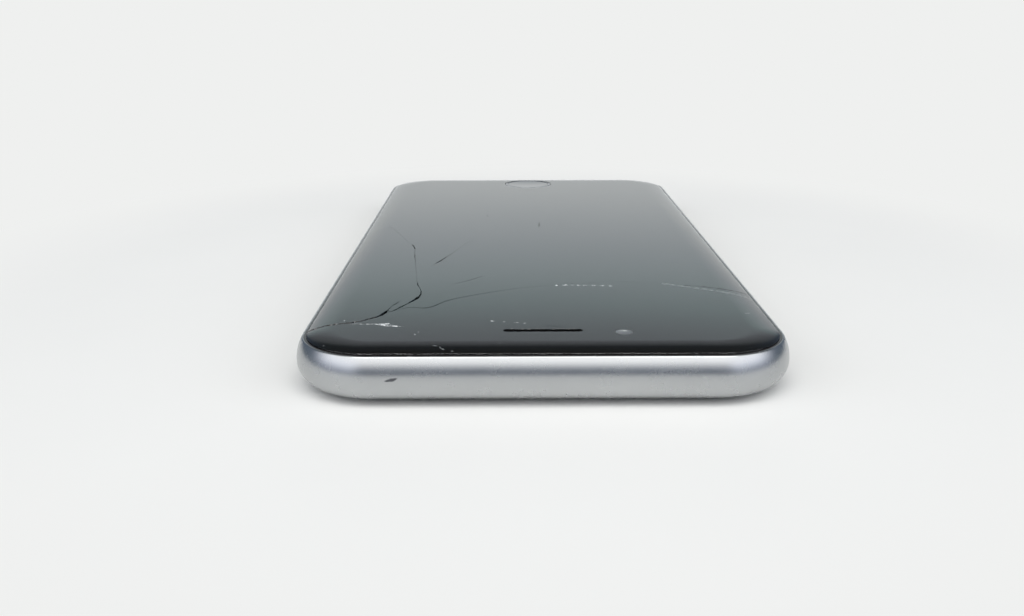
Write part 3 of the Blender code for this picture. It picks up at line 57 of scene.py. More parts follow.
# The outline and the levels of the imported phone
HALF_WIDTH = 33.55 * MM
HALF_LENGTH = 69.15 * MM
CORNER_RADIUS = 11.0 * MM
BACK_Z = 0.7 * MM
FLOOR_Z = 1.5 * MM
WIDEST_Z = 4.075 * MM
LEDGE_Z = 5.6 * MM
LIP_Z = 7.15 * MM
GLASS_LOW_Z = 7.1 * MM
GLASS_EDGE_Z = 7.25 * MM
GLASS_TOP_Z = 7.8 * MM
SHELF_TOP_Z = 7.05 * MM
SHELF_LOW_Z = 6.65 * MM
PORT_Z = 3.575 * MM
JACK_Z = 3.825 * MM

# Insets from the outline
BACK_INSET = 3.4 * MM
LIP_INSET = 0.85 * MM
OPENING_INSET = 1.08 * MM
WALL = 1.9 * MM
CAVITY_CHAMFER = 0.35 * MM
BEZEL_INSET = 1.1 * MM
BEZEL_INNER = 1.42 * MM
BEZEL_EDGE = 0.03 * MM
BEZEL_SHELF = 2.6 * MM
BEZEL_SKIRT = 1.6 * MM
GLASS_INSET = 1.44 * MM
GLASS_CURVE_RUN = 4.0 * MM
HOLE_CHAMFER = 0.02 * MM

# Above its widest level the housing's side is one arc up to the lip, whose rounding is given as shares
# of half its width: inward from the arc's end, and down from the top
UPPER_RISE = LIP_Z - WIDEST_Z
UPPER_RADIUS = (LIP_INSET ** 2 + UPPER_RISE ** 2) / (2 * LIP_INSET)
LIP_ROUND = ((-0.1, 0.55), (0.35, 0.12), (1.0, 0.0))
SMOOTH_TO_Z = LIP_Z - 0.12 * MM

# The gap between seated pieces, and how far a cutter reaches past what it cuts
FIT = 0.05 * MM
CUT_PAST = 1.0 * MM

# Fineness of the round shapes
CORNER_STEPS = 30
PROFILE_STEPS = 22
GLASS_STEPS = 20
BEZEL_STEPS = 3

# Places on the plan
BAND_Y = 54.15 * MM
BAND_HALF = 0.65 * MM
BAND_DEPTH = 0.25 * MM
BAND_TOP_Z = 6.75 * MM
SLOT_Y = -59.35 * MM
SLOT_LENGTH = 10.8 * MM
SLOT_HEIGHT = 1.1 * MM
FRONT_CAMERA = (10.95 * MM, -60.15 * MM)
FRONT_LENS = (10.95 * MM, -59.6 * MM)
HOME_Y = 59.75 * MM
HOME_HOLE_RADIUS = 5.6 * MM
REAR_CAMERA = (-23.2 * MM, -59.35 * MM)
FLASH_X = -12.3 * MM
REAR_MIC_X = -16.4 * MM
CARD_Y = -14.55 * MM
SCREW_X = 8.583 * MM
MIC_X = 14.067 * MM
JACK_X = 20.5 * MM
SPEAKER_HOLE_X = -11.608 * MM
SPEAKER_PITCH = 1.85 * MM
SPEAKER_HOLES = 6

# The buttons that press in: node, side, y and length of the face
SIDE_BUTTONS = (("power_button", -1, -35.15 * MM, 9.6 * MM),
                ("volume_up_button", 1, -35.15 * MM, 8.4 * MM),
                ("volume_down_button", 1, -23.35 * MM, 8.4 * MM))
BUTTON_HEIGHT = 2.0 * MM
BUTTON_GAP = 0.1 * MM
BUTTON_FACE_X = 33.9 * MM
BUTTON_FLANGE_X = 30.9 * MM
BUTTON_FLANGE = 0.55 * MM
BUTTON_FLANGE_LIP = 0.5 * MM
BUTTON_EDGE = 0.15 * MM

# The mute slider: its place, and the half length, half height and corner radius of face and flange
MUTE_Y = -47.65 * MM
MUTE_PLACE = (0.0, MUTE_Y, WIDEST_Z + 0.55 * MM)
MUTE_FACE = (2.75 * MM, 0.65 * MM, 0.45 * MM)
MUTE_FACE_X = 33.2 * MM
MUTE_FLANGE_SHAPE = (3.35 * MM, 0.9 * MM, 0.3 * MM)
MUTE_FLANGE = 0.5 * MM

# The chamfer round each mouth in the sides and in the home edge
MOUTH_CHAMFER = 0.1 * MM

# The openings in the housing's sides: side, y, length, height and corner radius
SIDE_OPENINGS = (
    *((side, y, length + 2 * BUTTON_GAP, BUTTON_HEIGHT + 2 * BUTTON_GAP, BUTTON_HEIGHT / 2 + BUTTON_GAP)
      for _, side, y, length in SIDE_BUTTONS),
    (1, MUTE_Y, 5.7 * MM, 2.6 * MM, 0.55 * MM),
    (-1, CARD_Y, 15.4 * MM, 2.1 * MM, 1.05 * MM),
)
SIDE_CORNER_STEPS = 8

# The port's mouth, and the round openings beside it in the home edge: x, height, radius and the steps
# of a quarter turn
PORT_LENGTH = 8.4 * MM
PORT_HEIGHT = 2.5 * MM
EDGE_HOLES = ((JACK_X, JACK_Z, 1.77 * MM, 12), (MIC_X, PORT_Z, 0.55 * MM, 6),
              (-SCREW_X, PORT_Z, 0.85 * MM, 6), (SCREW_X, PORT_Z, 0.85 * MM, 6),
              *((SPEAKER_HOLE_X - i * SPEAKER_PITCH, PORT_Z, 0.7 * MM, 6) for i in range(SPEAKER_HOLES)))

# The openings in the back, which lie in a row: x, radius and chamfer
BACK_HOLES = ((REAR_CAMERA[0], 4.05 * MM, 0.04 * MM), (FLASH_X, 2.15 * MM, 0.06 * MM),
              (REAR_MIC_X, 0.45 * MM, 0.08 * MM))

# The home button's cap above its flange
CAP_RADIUS = 4.9 * MM
CAP_TOP_Z = 7.72 * MM
CAP_EDGE = 0.06 * MM
CAP_EDGE_STEPS = 4
DISH_RADIUS = 4.75 * MM
DISH_DEPTH = 0.08 * MM
DISH_STEPS = 10

# Turned pieces as (radius, height) points, in millimetres. Where an edge is broken, it has a point more
HOME_FLANGE = ((0, 6.45), (6.15, 6.45), (6.2, 6.5), (6.2, 6.75), (6.15, 6.8), (4.9, 6.8))
HOME_RING = ((4.95, 6.85), (5.5, 6.85), (5.5, 7.73), (5.49, 7.75), (5.46, 7.76), (4.99, 7.76),
             (4.96, 7.75), (4.95, 7.73))
CAMERA_RING = ((3.35, 0.12), (3.39, 0.035), (3.48, 0.0), (3.86, 0.0), (3.96, 0.04), (4.0, 0.14),
               (4.0, 1.4), (3.95, 1.45), (3.4, 1.45), (3.35, 1.4))
CAMERA_CRYSTAL = ((0, 0.12), (3.22, 0.12), (3.3, 0.18), (3.3, 0.64), (3.24, 0.7), (0, 0.7))
BARREL_OUTSIDE = ((0, 3.95), (2.75, 3.95), (2.75, 1.72), (2.68, 1.65))
BARREL_SEAT = ((1.2, 2.1), (0, 2.1))
FLASH_OUTSIDE = ((0, 1.4), (2.1, 1.4), (2.1, 0.78), (2.02, 0.7))
FLASH_MIDDLE = (0, 0.76)
FRONT_BARREL = ((0, 6.2), (1.6, 6.2), (1.6, 6.98), (1.55, 7.03), (1.5, 7.05), (1.02, 7.05),
                (0.96, 7.02), (0.9, 6.94), (0.5, 6.72), (0, 6.72))

# The stepped baffles inside the focusing barrel, and the rings in the flash's face, in millimetres
BAFFLES = 4
BAFFLE_RADIUS = 2.3
BAFFLE_WIDTH = 0.3
BAFFLE_DEPTH = 0.09
BAFFLE_DRAFT = 0.02
FLASH_RINGS = 6
FLASH_RING_RADIUS = 1.8
FLASH_RING_WIDTH = 0.1
FLASH_RING_LEVELS = (0.72, 0.8)

# The domed lenses: the height of their flat side, radius, height of the dome and of the rim below it
REAR_LENS = (2.09 * MM, 1.15 * MM, 0.28 * MM)
SMALL_LENS = (6.72 * MM, 0.48 * MM, 0.2 * MM)
LENS_RIM = 0.04 * MM
LENS_STEPS = 6

# The front camera's body: half its width, and the levels of its foot and top
FRONT_BODY_HALF = 3.0 * MM
FRONT_BODY_Z = (4.65 * MM, 6.2 * MM)

# The port's tongue and its contacts, in one row above it and one below
TONGUE_LOW = (-3.3 * MM, 57.5 * MM, 3.23 * MM)
TONGUE_HIGH = (3.3 * MM, 62.7 * MM, 3.92 * MM)
TONGUE_CORNER = 0.3 * MM
CONTACTS = 8
CONTACT_PITCH = 0.7 * MM
CONTACT_X = (-2.63 * MM, -2.27 * MM)
CONTACT_Y = (59.0 * MM, 62.3 * MM)
CONTACT_Z = (-0.03 * MM, 0.015 * MM)
CONTACT_CORNER = 0.08 * MM

# The screws in the home edge: (radius, depth below the head's top) points in millimetres, and the
# lobed socket
SCREW_PROFILE = ((0, 3.6), (0.42, 3.6), (0.5, 3.5), (0.5, 0.75), (0.8, 0.75), (0.8, 0.2), (0.76, 0.09),
                 (0.66, 0.02), (0.52, 0))
SCREW_SINK = 0.15 * MM
SOCKET_LOBES = 5
SOCKET_RADIUS = 0.36 * MM
SOCKET_LOBE_SHARE = 0.16
SOCKET_TAPER = 0.92
SOCKET_DEPTH = 0.4 * MM
SOCKET_CONE = 0.05 * MM

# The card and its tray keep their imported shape, with rounded edges of this width
ROUNDED_EDGES = (("sim_tray", 0.12 * MM), ("sim_card", 0.04 * MM))
ROUNDED_SEGMENTS = 3

# The cracks as points (x, y, half width of the chipped groove), all in millimetres. The pale one has a white
# crushed face that stands in for a facet catching the light, a painted highlight; the others have clean
# faces with a grey tint of painted shade. The surface cracks don't go through the glass
CRACKS = {
    "start": ((-34.7, -60.2, 0.24), (-31.1, -57.8, 0.28), (-29.6, -56.7, 0.3), (-26.7, -55.7, 0.26),
              (-24.8, -54.4, 0.26), (-23.2, -52.8, 0.26), (-22.2, -50.6, 0.12), (-21.0, -49.5, 0.0)),
    "middle": ((-21.0, -49.5, 0.0), (-18.9, -47.9, 0.05), (-17.5, -48.4, 0.07), (-16.4, -48.4, 0.09),
               (-15.4, -47.2, 0.09), (-14.1, -44.8, 0.07), (-12.0, -42.9, 0.055), (-9.0, -40.8, 0.04),
               (-6.0, -39.0, 0.03), (-3.3, -37.5, 0.02), (3.0, -35.7, 0.0), (11.8, -33.3, 0.0)),
    "middle_end": ((11.8, -33.3, 0.0), (15.0, -33.9, 0.01), (19.6, -34.7, 0.0)),
    "sliver_near": ((19.6, -34.7, 0.0), (22.1, -36.1, 0.01), (25.0, -37.8, 0.01), (27.8, -39.6, 0.0),
                    (30.4, -41.6, 0.01), (34.7, -44.9, 0.0)),
    "sliver_far": ((22.1, -36.1, 0.0), (25.2, -36.6, 0.05), (28.0, -38.2, 0.13), (30.7, -39.8, 0.1),
                   (34.7, -42.2, 0.04)),
    "long": ((-21.25, -49.73, 0.05), (-20.5, -48.1, 0.15), (-19.6, -46.2, 0.07), (-19.0, -44.8, 0.16),
             (-18.5, -43.4, 0.32), (-18.1, -41.9, 0.14), (-18.0, -40.6, 0.07), (-18.2, -38.7, 0.05),
             (-18.7, -36.4, 0.02), (-19.0, -35.1, 0.1), (-19.2, -33.9, 0.0), (-20.4, -22.4, 0.0),
             (-21.1, -15.9, 0.04), (-21.5, -11.0, 0.0), (-21.7, -9.3, 0.12), (-22.2, -7.5, 0.05),
             (-22.8, -6.1, 0.0), (-25.0, 0.6, 0.0), (-27.7, 7.9, 0.0), (-34.7, 19.9, 0.0)),
    "short_spur": ((-22.9, -52.0, 0.12), (-22.4, -50.9, 0.26), (-22.1, -49.6, 0.1), (-21.8, -47.6, 0.02),
                   (-21.3, -46.2, 0.08), (-20.7, -44.1, 0.0)),
    "far_branch": ((-17.2, -21.7, 0.02), (-16.6, -20.2, 0.15), (-15.6, -17.0, 0.05), (-14.6, -14.2, 0.02),
                   (-13.5, -9.4, 0.0), (-11.0, -1.4, 0.0)),
    "far_fleck": ((-9.0, 18.6, 0.0), (-9.0, 19.8, 0.04), (-9.2, 21.5, 0.0)),
    "smudge": ((1.3, 8.0, 0.0), (1.4, 10.4, 0.09), (1.5, 13.0, 0.0)),
    "hairline": ((-13.9, -35.6, 0.0), (-10.8, -32.5, 0.05), (-8.9, -30.0, 0.02)),
    "border": ((0.3, -56.9, 0.01), (1.5, -57.4, 0.04), (2.7, -57.9, 0.01)),
}
# The sliver's crack is made pale: a painted highlight for a facet that glints
PAINTED_GLINT_CRACKS = ("sliver_near",)
SURFACE_CRACKS = ("short_spur", "far_branch", "far_fleck", "smudge", "hairline", "border")

# Half the gap through the glass, the length of a crack's steps and how far they stray, the reach into
# its neighbour, and the least and greatest depth of the groove
CRACK_GAP = 0.01 * MM
CRACK_STEP = 0.4 * MM
CRACK_STRAY = 0.05 * MM
CRACK_OVERLAP = 0.06 * MM
GROOVE_LEAST = 0.08 * MM
GROOVE_MOST = 0.4 * MM

# The seed of the wear, and the spreads it draws from: a groove's half widths and depth against the
# crack's half width, and how far a chip's corners lie out, in plan and again at each level
WEAR_SEED = 7
GROOVE_WIDTHS = (0.5, 1.35)
GROOVE_DEPTHS = (1.4, 2.4)
CHIP_REACHES = (0.65, 1.15)
CHIP_WOBBLE = (0.92, 1.08)

# Chips of crushed glass, broken out of the surface, and the two deep ones beside the cracks: x, y,
# length, width, all in millimetres, and the long side's angle from the X axis in degrees
FLAKES = (
    (-23.6, -56.35, 2.2, 0.28, -4), (-22.9, -56.35, 2.4, 0.38, -5), (-22.2, -56.3, 2.0, 0.5, -3),
    (-22.0, -56.75, 2.2, 0.75, -9), (-21.4, -56.85, 1.7, 0.95, -12), (-20.9, -57.05, 1.3, 0.85, -16),
    (-20.3, -57.2, 1.1, 0.5, -20), (-21.7, -56.1, 1.4, 0.4, 6), (-25.6, -56.1, 2.2, 0.1, 3),
    (-24.8, -56.3, 1.6, 0.12, -5), (-19.6, -57.35, 1.2, 0.13, -18),
    (2.9, -35.9, 0.8, 0.3, 10), (4.2, -35.8, 0.9, 1.0, 30), (5.3, -35.9, 0.5, 0.6, -20),
    (6.3, -36.0, 0.6, 0.8, 15), (7.3, -36.0, 0.6, 0.8, -35), (8.6, -36.1, 0.8, 0.5, 8),
    (9.9, -36.2, 0.8, 0.35, -12), (11.3, -36.4, 0.8, 0.3, 5),
    (-6.9, -55.0, 0.8, 0.34, -15), (-5.2, -55.4, 0.6, 0.22, -8), (-3.6, -55.7, 0.9, 0.24, -12),
    (-2.4, -56.0, 0.5, 0.22, 10), (-17.2, -61.0, 0.14, 0.6, 20), (-16.8, -59.9, 0.26, 0.14, 0),
    (-14.2, -65.6, 0.8, 0.06, -14), (-13.5, -66.1, 0.09, 0.5, 25), (-13.2, -66.6, 0.7, 0.07, -30),
    (-11.9, -67.2, 0.35, 0.12, 0), (29.4, -51.4, 1.2, 0.24, 12), (-27.6, -54.6, 0.2, 0.24, 0),
)
DEEP_CHIPS = ((-22.6, -51.5, 0.62, 1.6, -18), (-18.45, -43.2, 0.62, 1.7, -10))
DEEP_CHIP_DEPTH = 0.42 * MM

# A chip's corners, and its outline as shares of its size and depth, from the bottom up
CHIP_CORNERS = 11
CHIP_LEVELS = ((0.25, -1.0), (0.7, -0.55), (1.0, 0.0), (1.05, 1.0))

# The scuff on the earpiece end, what shows under the glass, and the card's middle in its tray
SCUFF_PLACE = (-19.6 * MM, -69.1 * MM, 4.3 * MM)
SCUFF_SIZE = (1.7 * MM, 2.0 * MM, 0.42 * MM)
SCUFF_SLANT = math.radians(-14)
DISPLAY_HALF_WIDTH = 29.2 * MM
DISPLAY_HALF_LENGTH = 52.0 * MM
WINDOW_RADIUS = 1.15 * MM
CARD_MIDDLE = (-23.91 * MM, -15.45 * MM, 4.47 * MM)

# The photograph's camera, with its pitch, yaw and roll in degrees and its focal length in pixels
CAMERA_PLACE = (-4.468 * MM, -193.969 * MM, 50.293 * MM)
CAMERA_ANGLES = (16.288, 0.118, -0.135)
SENSOR_WIDTH = 36.0
PICTURE_PIXELS = 1024
FOCAL_PIXELS = 1043.52
CAMERA_CLIP = (0.005, 500)

# The table, how it fades beyond an oval round the phone, how far before the middle of the camera's ring
# the two touch, and the lamp as name, place, size and power
TABLE_RADIUS = 140 * MM
TABLE_DEPTH = 2 * MM
TABLE_FADE = (1 / (75 * MM), 1 / (80 * MM), 0.0)
TABLE_FADE_END = 1.7
RING_REST = 4.0 * MM
BACKDROP = "#EFF0EF"
LAMPS = (("softbox_above", (0.0, -0.6, 0.98), (1.1, 0.5), 6.75),)

# What the surroundings show at each height, as the sine of the elevation: beyond the phone, behind
# the camera, on the flanks behind it, and at the sides
BEYOND_TONES = ((0.0, (0.95, 0.985, 1.0, 1.0)), (0.171, (0.95, 0.99, 1.0, 1.0)),
                (0.2215, (0.8, 0.875, 0.91, 1.0)), (0.2504, (0.72, 0.83, 0.855, 1.0)),
                (0.2773, (0.59, 0.71, 0.725, 1.0)), (0.304, (0.488, 0.535, 0.57, 1.0)),
                (0.34, (0.375, 0.4, 0.43, 1.0)), (0.4, (0.3, 0.32, 0.34, 1.0)),
                (0.5, (0.09, 0.105, 0.115, 1.0)), (0.85, 0.14), (1.0, 0.45))
BEHIND_TONES = ((0.0, (0.1, 0.13, 0.19, 1.0)), (0.12, (0.11, 0.14, 0.2, 1.0)),
                (0.3, (0.76, 0.79, 0.84, 1.0)), (0.4, 1.55), (0.48, 1.85), (0.66, 1.85), (0.8, 0.5),
                (1.0, 0.45))
FLANK_TONES = ((0.0, (0.3, 0.34, 0.44, 1.0)), (0.1, (0.62, 0.67, 0.8, 1.0)), (0.2, (1.15, 1.2, 1.35, 1.0)),
               (0.34, (1.75, 1.78, 1.92, 1.0)), (0.66, 1.9), (0.8, 0.5), (1.0, 0.45))
SIDE_TONES = ((0.0, (0.13, 0.17, 0.22, 1.0)), (0.35, (0.16, 0.2, 0.27, 1.0)), (0.6, (0.14, 0.17, 0.2, 1.0)),
              (0.85, 0.14), (1.0, 0.45))

# The zones laid over the side's tones, and the headings where each begins and is full, as their Y part
ZONES = ((BEYOND_TONES, 0.87, 0.965), (FLANK_TONES, 0.28, -0.38), (BEHIND_TONES, -0.85, -0.965))

# The shards: node name and the middle of its box, in millimetres
SHARDS = (("glass_top", (0, -50)), ("glass_right", (-25, -21)), ("glass_main", (0, 10)),
          ("glass_sliver", (27, -40)))


def linear(colour):
    """The linear values of an sRGB hex colour."""
    parts = [int(colour[i:i + 2], 16) / 255 for i in (1, 3, 5)]
    return tuple(part / 12.92 if part <= 0.04045 else ((part + 0.055) / 1.055) ** 2.4 for part in parts)


def opaque(colour):
    """The same with an alpha of 1, as a colour socket takes it."""
    return (*linear(colour), 1.0)


def per_metre(millimetres):
    """The scale of a pattern whose repeat is this long."""
    return 1000.0 / millimetres


def shade(colour, share):
    """A colour made darker or lighter by this share, with an alpha of 1."""
    return (*[min(part * share, 1) for part in colour], 1.0)


class PhoneLook(bpy.types.PropertyGroup):
    """The colours of the phone and of its place."""
    aluminium: FloatVectorProperty(name="Aluminium", description="Anodised housing, buttons and tray",
                                   subtype="COLOR", min=0, max=1, default=linear("#B2B4B5"))
    band: FloatVectorProperty(name="Bands", description="Plastic bands across the back",
                              subtype="COLOR", min=0, max=1, default=linear("#8B8D92"))
    bezel: FloatVectorProperty(name="Bezel", description="Plastic line round the glass",
                               subtype="COLOR", min=0, max=1, default=linear("#2A2624"))
    ink: FloatVectorProperty(name="Ink", description="Print under the border of the glass",
                             subtype="COLOR", min=0, max=1, default=linear("#08090A"))
    display: FloatVectorProperty(name="Display", description="The dark display behind the glass",
                                 subtype="COLOR", min=0, max=1, default=linear("#101215"))
    floor: FloatVectorProperty(name="Floor", description="The table and its surroundings",
                               subtype="COLOR", min=0, max=1, default=linear("#F0F0ED"))


class PhoneDamage(bpy.types.PropertyGroup):
    """How badly the glass is broken."""
    groove: FloatProperty(name="Groove width", description="Width of the cracks against the real ones",
                          subtype="FACTOR", min=0.2, max=2, default=1.0)
    flake_depth: FloatProperty(name="Flake depth", description="Depth of the flakes broken out",
                               unit="LENGTH", min=0.02 * MM, max=0.3 * MM, default=0.1 * MM)


# Shapes

def arc(steps, sweep=math.pi / 2):
    """(cosine, sine) pairs along an arc that starts at 0, by default a quarter turn."""
    return [(math.cos(sweep * step / steps), math.sin(sweep * step / steps)) for step in range(steps + 1)]


def in_metres(points):
    return [(radius * MM, level * MM) for radius, level in points]


def rounded_rectangle(half_x, half_y, radius, steps):
    """Points round a rectangle with round corners, counter-clockwise."""
    points = []
    for quarter, (side_x, side_y) in enumerate(((1, 1), (-1, 1), (-1, -1), (1, -1))):
        for step in range(steps + 1):
            angle = math.pi / 2 * (quarter + step / steps)
            points.append((side_x * (half_x - radius) + radius * math.cos(angle),
                           side_y * (half_y - radius) + radius * math.sin(angle)))
    return points


def pill(length, height, steps=10):
    return rounded_rectangle(length / 2, height / 2, height / 2 - TINY, steps)


def circle(radius, steps=12):
    return rounded_rectangle(radius, radius, radius - TINY, steps)


def body_outline(inset):
    return rounded_rectangle(HALF_WIDTH - inset, HALF_LENGTH - inset, CORNER_RADIUS - inset, CORNER_STEPS)


def on_axis(axis, outline, level, centre=(0, 0, 0)):
    """The points of a flat outline at a level of the axis, moved to the centre."""
    order = {"X": (2, 0, 1), "Y": (0, 2, 1), "Z": (0, 1, 2)}[axis]
    return [Vector([(*point, level)[i] for i in order]) + Vector(centre) for point in outline]


def loft(name, rings, closed=False):
    """A new mesh object from rings of equal counts. Its ends are capped, or it closes on itself."""
    body = bmesh.new()
    rows = [[body.verts.new(point) for point in ring] for ring in rings]
    for low, high in zip(rows, rows[1:] + (rows[:1] if closed else [])):
        for i in range(len(low)):
            j = (i + 1) % len(low)
            body.faces.new((low[i], low[j], high[j], high[i]))
    if not closed:
        body.faces.new(rows[0][::-1])
        body.faces.new(rows[-1])
    bmesh.ops.remove_doubles(body, verts=body.verts, dist=TINY * 5)
    bmesh.ops.recalc_face_normals(body, faces=body.faces)
    mesh = bpy.data.meshes.new(name)
    body.to_mesh(mesh)
    body.free()
    made = bpy.data.objects.new(name, mesh)
    bpy.context.scene.collection.objects.link(made)
    return made


def stepped(name, shapes, axis, centre=(0, 0, 0), closed=False):
    """A piece whose outline changes along its axis: shapes holds (outline, level) pairs."""
    return loft(name, [on_axis(axis, outline, level, centre) for outline, level in shapes], closed)


def turned(name, profile, centre=(0, 0, 0), axis="Z", steps=16, closed=False):
    """A turned piece from (radius, level) points."""
    return stepped(name, [(circle(max(radius, TINY * 2), steps), level) for radius, level in profile],
                   axis, centre, closed)


def box(name, low, high, radius=0.15 * MM):
    """A block with round upright edges and a small chamfer above and below."""
    low, high = Vector(low), Vector(high)
    half = (high - low) / 2
    radius = min(radius, half.x * 0.8, half.y * 0.8)
    chamfer = min(radius, half.z) / 2
    full = rounded_rectangle(half.x, half.y, radius, 3)
    small = rounded_rectangle(half.x - chamfer, half.y - chamfer, max(radius - chamfer, TINY), 3)
    return stepped(name, ((small, -half.z), (full, chamfer - half.z), (full, half.z - chamfer),
                          (small, half.z)), "Z", (low + high) / 2)


def bevelled(outline_at, low, high, radius, steps=4):
    """(outline, level) pairs of a prism whose far edge is rounded by the radius. outline_at gives the
    outline taken in by a distance."""
    sign = 1 if high > low else -1
    return [(outline_at(0), low)] + [(outline_at(radius * (1 - across)), high - sign * radius * (1 - up))
                                     for across, up in arc(steps)]


def carve(target, tools):
    """Cuts the tools out of the target, and leaves the result without its smallest slivers."""
    for tool in tools:
        modifier = target.modifiers.new("cut", "BOOLEAN")
        modifier.operation = "DIFFERENCE"
        modifier.solver = "EXACT"
        modifier.material_mode = "TRANSFER"
        modifier.object = tool
    graph = bpy.context.evaluated_depsgraph_get()
    mesh = bpy.data.meshes.new_from_object(target.evaluated_get(graph))
    rough = bmesh.new()
    rough.from_mesh(mesh)
    bmesh.ops.dissolve_degenerate(rough, dist=TINY, edges=rough.edges)
    rough.to_mesh(mesh)
    rough.free()
    target.modifiers.clear()
    target.data = mesh
    for tool in tools:
        bpy.data.objects.remove(tool)


def dress(piece, body, slot, material, *nodes, sharp=35):
    """Gives a piece its material, unless it brings its own, its shading, its body, and the nodes that it
    stands for. The slot is not used."""
    mesh = piece.data
    if material:
        mesh.materials.clear()
        mesh.materials.append(finish(material))
    mesh.shade_smooth()
    mesh.set_sharp_from_angle(angle=math.radians(sharp))
    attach(piece, body)
    if nodes:
        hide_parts(*nodes)


def outward(x, y):
    """How deep a point lies inside the phone's outline, and the way straight out from there."""
    over_x = abs(x) - (HALF_WIDTH - CORNER_RADIUS)
    over_y = abs(y) - (HALF_LENGTH - CORNER_RADIUS)
    side_x, side_y = math.copysign(1, x), math.copysign(1, y)
    if over_x > 0 and over_y > 0:
        reach = math.hypot(over_x, over_y)
        return CORNER_RADIUS - reach, Vector((side_x * over_x / reach, side_y * over_y / reach, 0))
    if over_x > over_y:
        return CORNER_RADIUS - over_x, Vector((side_x, 0, 0))
    return CORNER_RADIUS - over_y, Vector((0, side_y, 0))


def glass_surface(x, y):
    """Height and normal of the glass's upper surface above a point of the plan."""
    inset, out = outward(x, y)
    share = min(max((GLASS_INSET + GLASS_CURVE_RUN - inset) / GLASS_CURVE_RUN, 0), 1)
    rise = math.sqrt(1 - share ** 2)
    height = GLASS_TOP_Z - GLASS_EDGE_Z
    normal = out * (share / GLASS_CURVE_RUN) + Vector((0, 0, rise / height))
    return GLASS_EDGE_Z + height * rise, normal.normalized()


def side_section():
    """The housing's outer side as (inset, z), from the back face to the lip, whose edge is rounded."""
    points = [(BACK_INSET * (1 - up), WIDEST_Z - (WIDEST_Z - BACK_Z) * across)
              for across, up in arc(PROFILE_STEPS)]
    points += [(UPPER_RADIUS * (1 - across), WIDEST_Z + UPPER_RADIUS * up)
               for across, up in arc(PROFILE_STEPS, math.asin(UPPER_RISE / UPPER_RADIUS))[1:-1]]
    half = (OPENING_INSET - LIP_INSET) / 2
    return points + [(LIP_INSET + half * across, LIP_Z - half * down) for across, down in LIP_ROUND]


def side_normal(point):
    """The normal of the housing's outer side, or nothing near its lip."""
    _, out = outward(point.x, point.y)
    if point.z <= WIDEST_Z:
        share = min(max((WIDEST_Z - point.z) / (WIDEST_Z - BACK_Z), 0), 1)
        across = math.sqrt(1 - share ** 2)
        return (out * (across / BACK_INSET) - Vector((0, 0, share / (WIDEST_Z - BACK_Z)))).normalized()
    if point.z > SMOOTH_TO_Z:
        return None
    up = (point.z - WIDEST_Z) / UPPER_RADIUS
    return out * math.sqrt(1 - up ** 2) + Vector((0, 0, up))


def set_normals(piece, normal_at, spread=14):
    """Gives the corners of faces on a known surface that surface's own normal."""
    mesh = piece.data
    limit = math.cos(math.radians(spread))
    normals = [(0.0, 0.0, 0.0)] * len(mesh.loops)
    for face in mesh.polygons:
        middle = normal_at(face.center)
        if middle is None or middle.dot(face.normal) < limit:
            continue
        for index in face.loop_indices:
            exact = normal_at(mesh.vertices[mesh.loops[index].vertex_index].co)
            if exact is not None:
                normals[index] = tuple(exact)
    mesh.normals_split_custom_set(normals)


# Materials

def add_node(tree, kind, inputs=None, ramp=None, **settings):
    """Adds a node with its settings and input values. An input given as (node, output) is linked."""
    node = tree.nodes.new(f"ShaderNode{kind}")
    for name, value in settings.items():
        setattr(node, name, value)
    for name, value in (inputs or {}).items():
        if isinstance(value, tuple) and isinstance(value[0], bpy.types.Node):
            tree.links.new(value[0].outputs[value[1]], node.inputs[name])
        else:
            node.inputs[name].default_value = value
    if ramp:
        stops = node.color_ramp.elements
        while len(stops) < len(ramp):
            stops.new(1.0)
        for stop, (position, colour) in zip(stops, ramp):
            stop.position = position
            stop.color = colour if isinstance(colour, tuple) else (colour, colour, colour, 1.0)
    return node


def new_material(name, values):
    """A material with its tree, its Principled shader and the object's own coordinates in metres."""
    material = bpy.data.materials.new(name)
    material.use_nodes = True
    tree = material.node_tree
    tree.nodes.clear()
    shader = add_node(tree, "BsdfPrincipled", values)
    add_node(tree, "OutputMaterial", {"Surface": (shader, "BSDF")})
    place = add_node(tree, "TexCoord")
    return material, tree, shader, (place, "Object")


def link(tree, node, output, shader, socket):
    tree.links.new(node.outputs[output], shader.inputs[socket])


def mottle(tree, place, size, low, high, detail=4.0, reach=(0.35, 0.65)):
    """Noise of this size in millimetres, spread between two colours or values."""
    noise = add_node(tree, "TexNoise", {"Vector": place, "Scale": per_metre(size), "Detail": detail})
    return add_node(tree, "ValToRGB", {"Fac": (noise, "Fac")}, ramp=((reach[0], low), (reach[1], high)))


def bump(tree, shader, height, distance):
    """Relief of a real depth in metres, from a height between 0 and 1."""
    node = add_node(tree, "Bump", {"Height": height, "Distance": distance})
    link(tree, node, "Normal", shader, "Normal")


def within(tree, split, value, half_x, half_y):
    """The value inside a rectangle round the middle of the parted coordinates, and 0 outside it."""
    for axis, half in (("X", half_x), ("Y", half_y)):
        size = add_node(tree, "Math", {0: (split, axis)}, operation="ABSOLUTE")
        inside = add_node(tree, "Math", {0: (size, "Value"), 1: half}, operation="LESS_THAN")
        both = add_node(tree, "Math", {0: value, 1: (inside, "Value")}, operation="MULTIPLY")
        value = both, "Value"
    return value


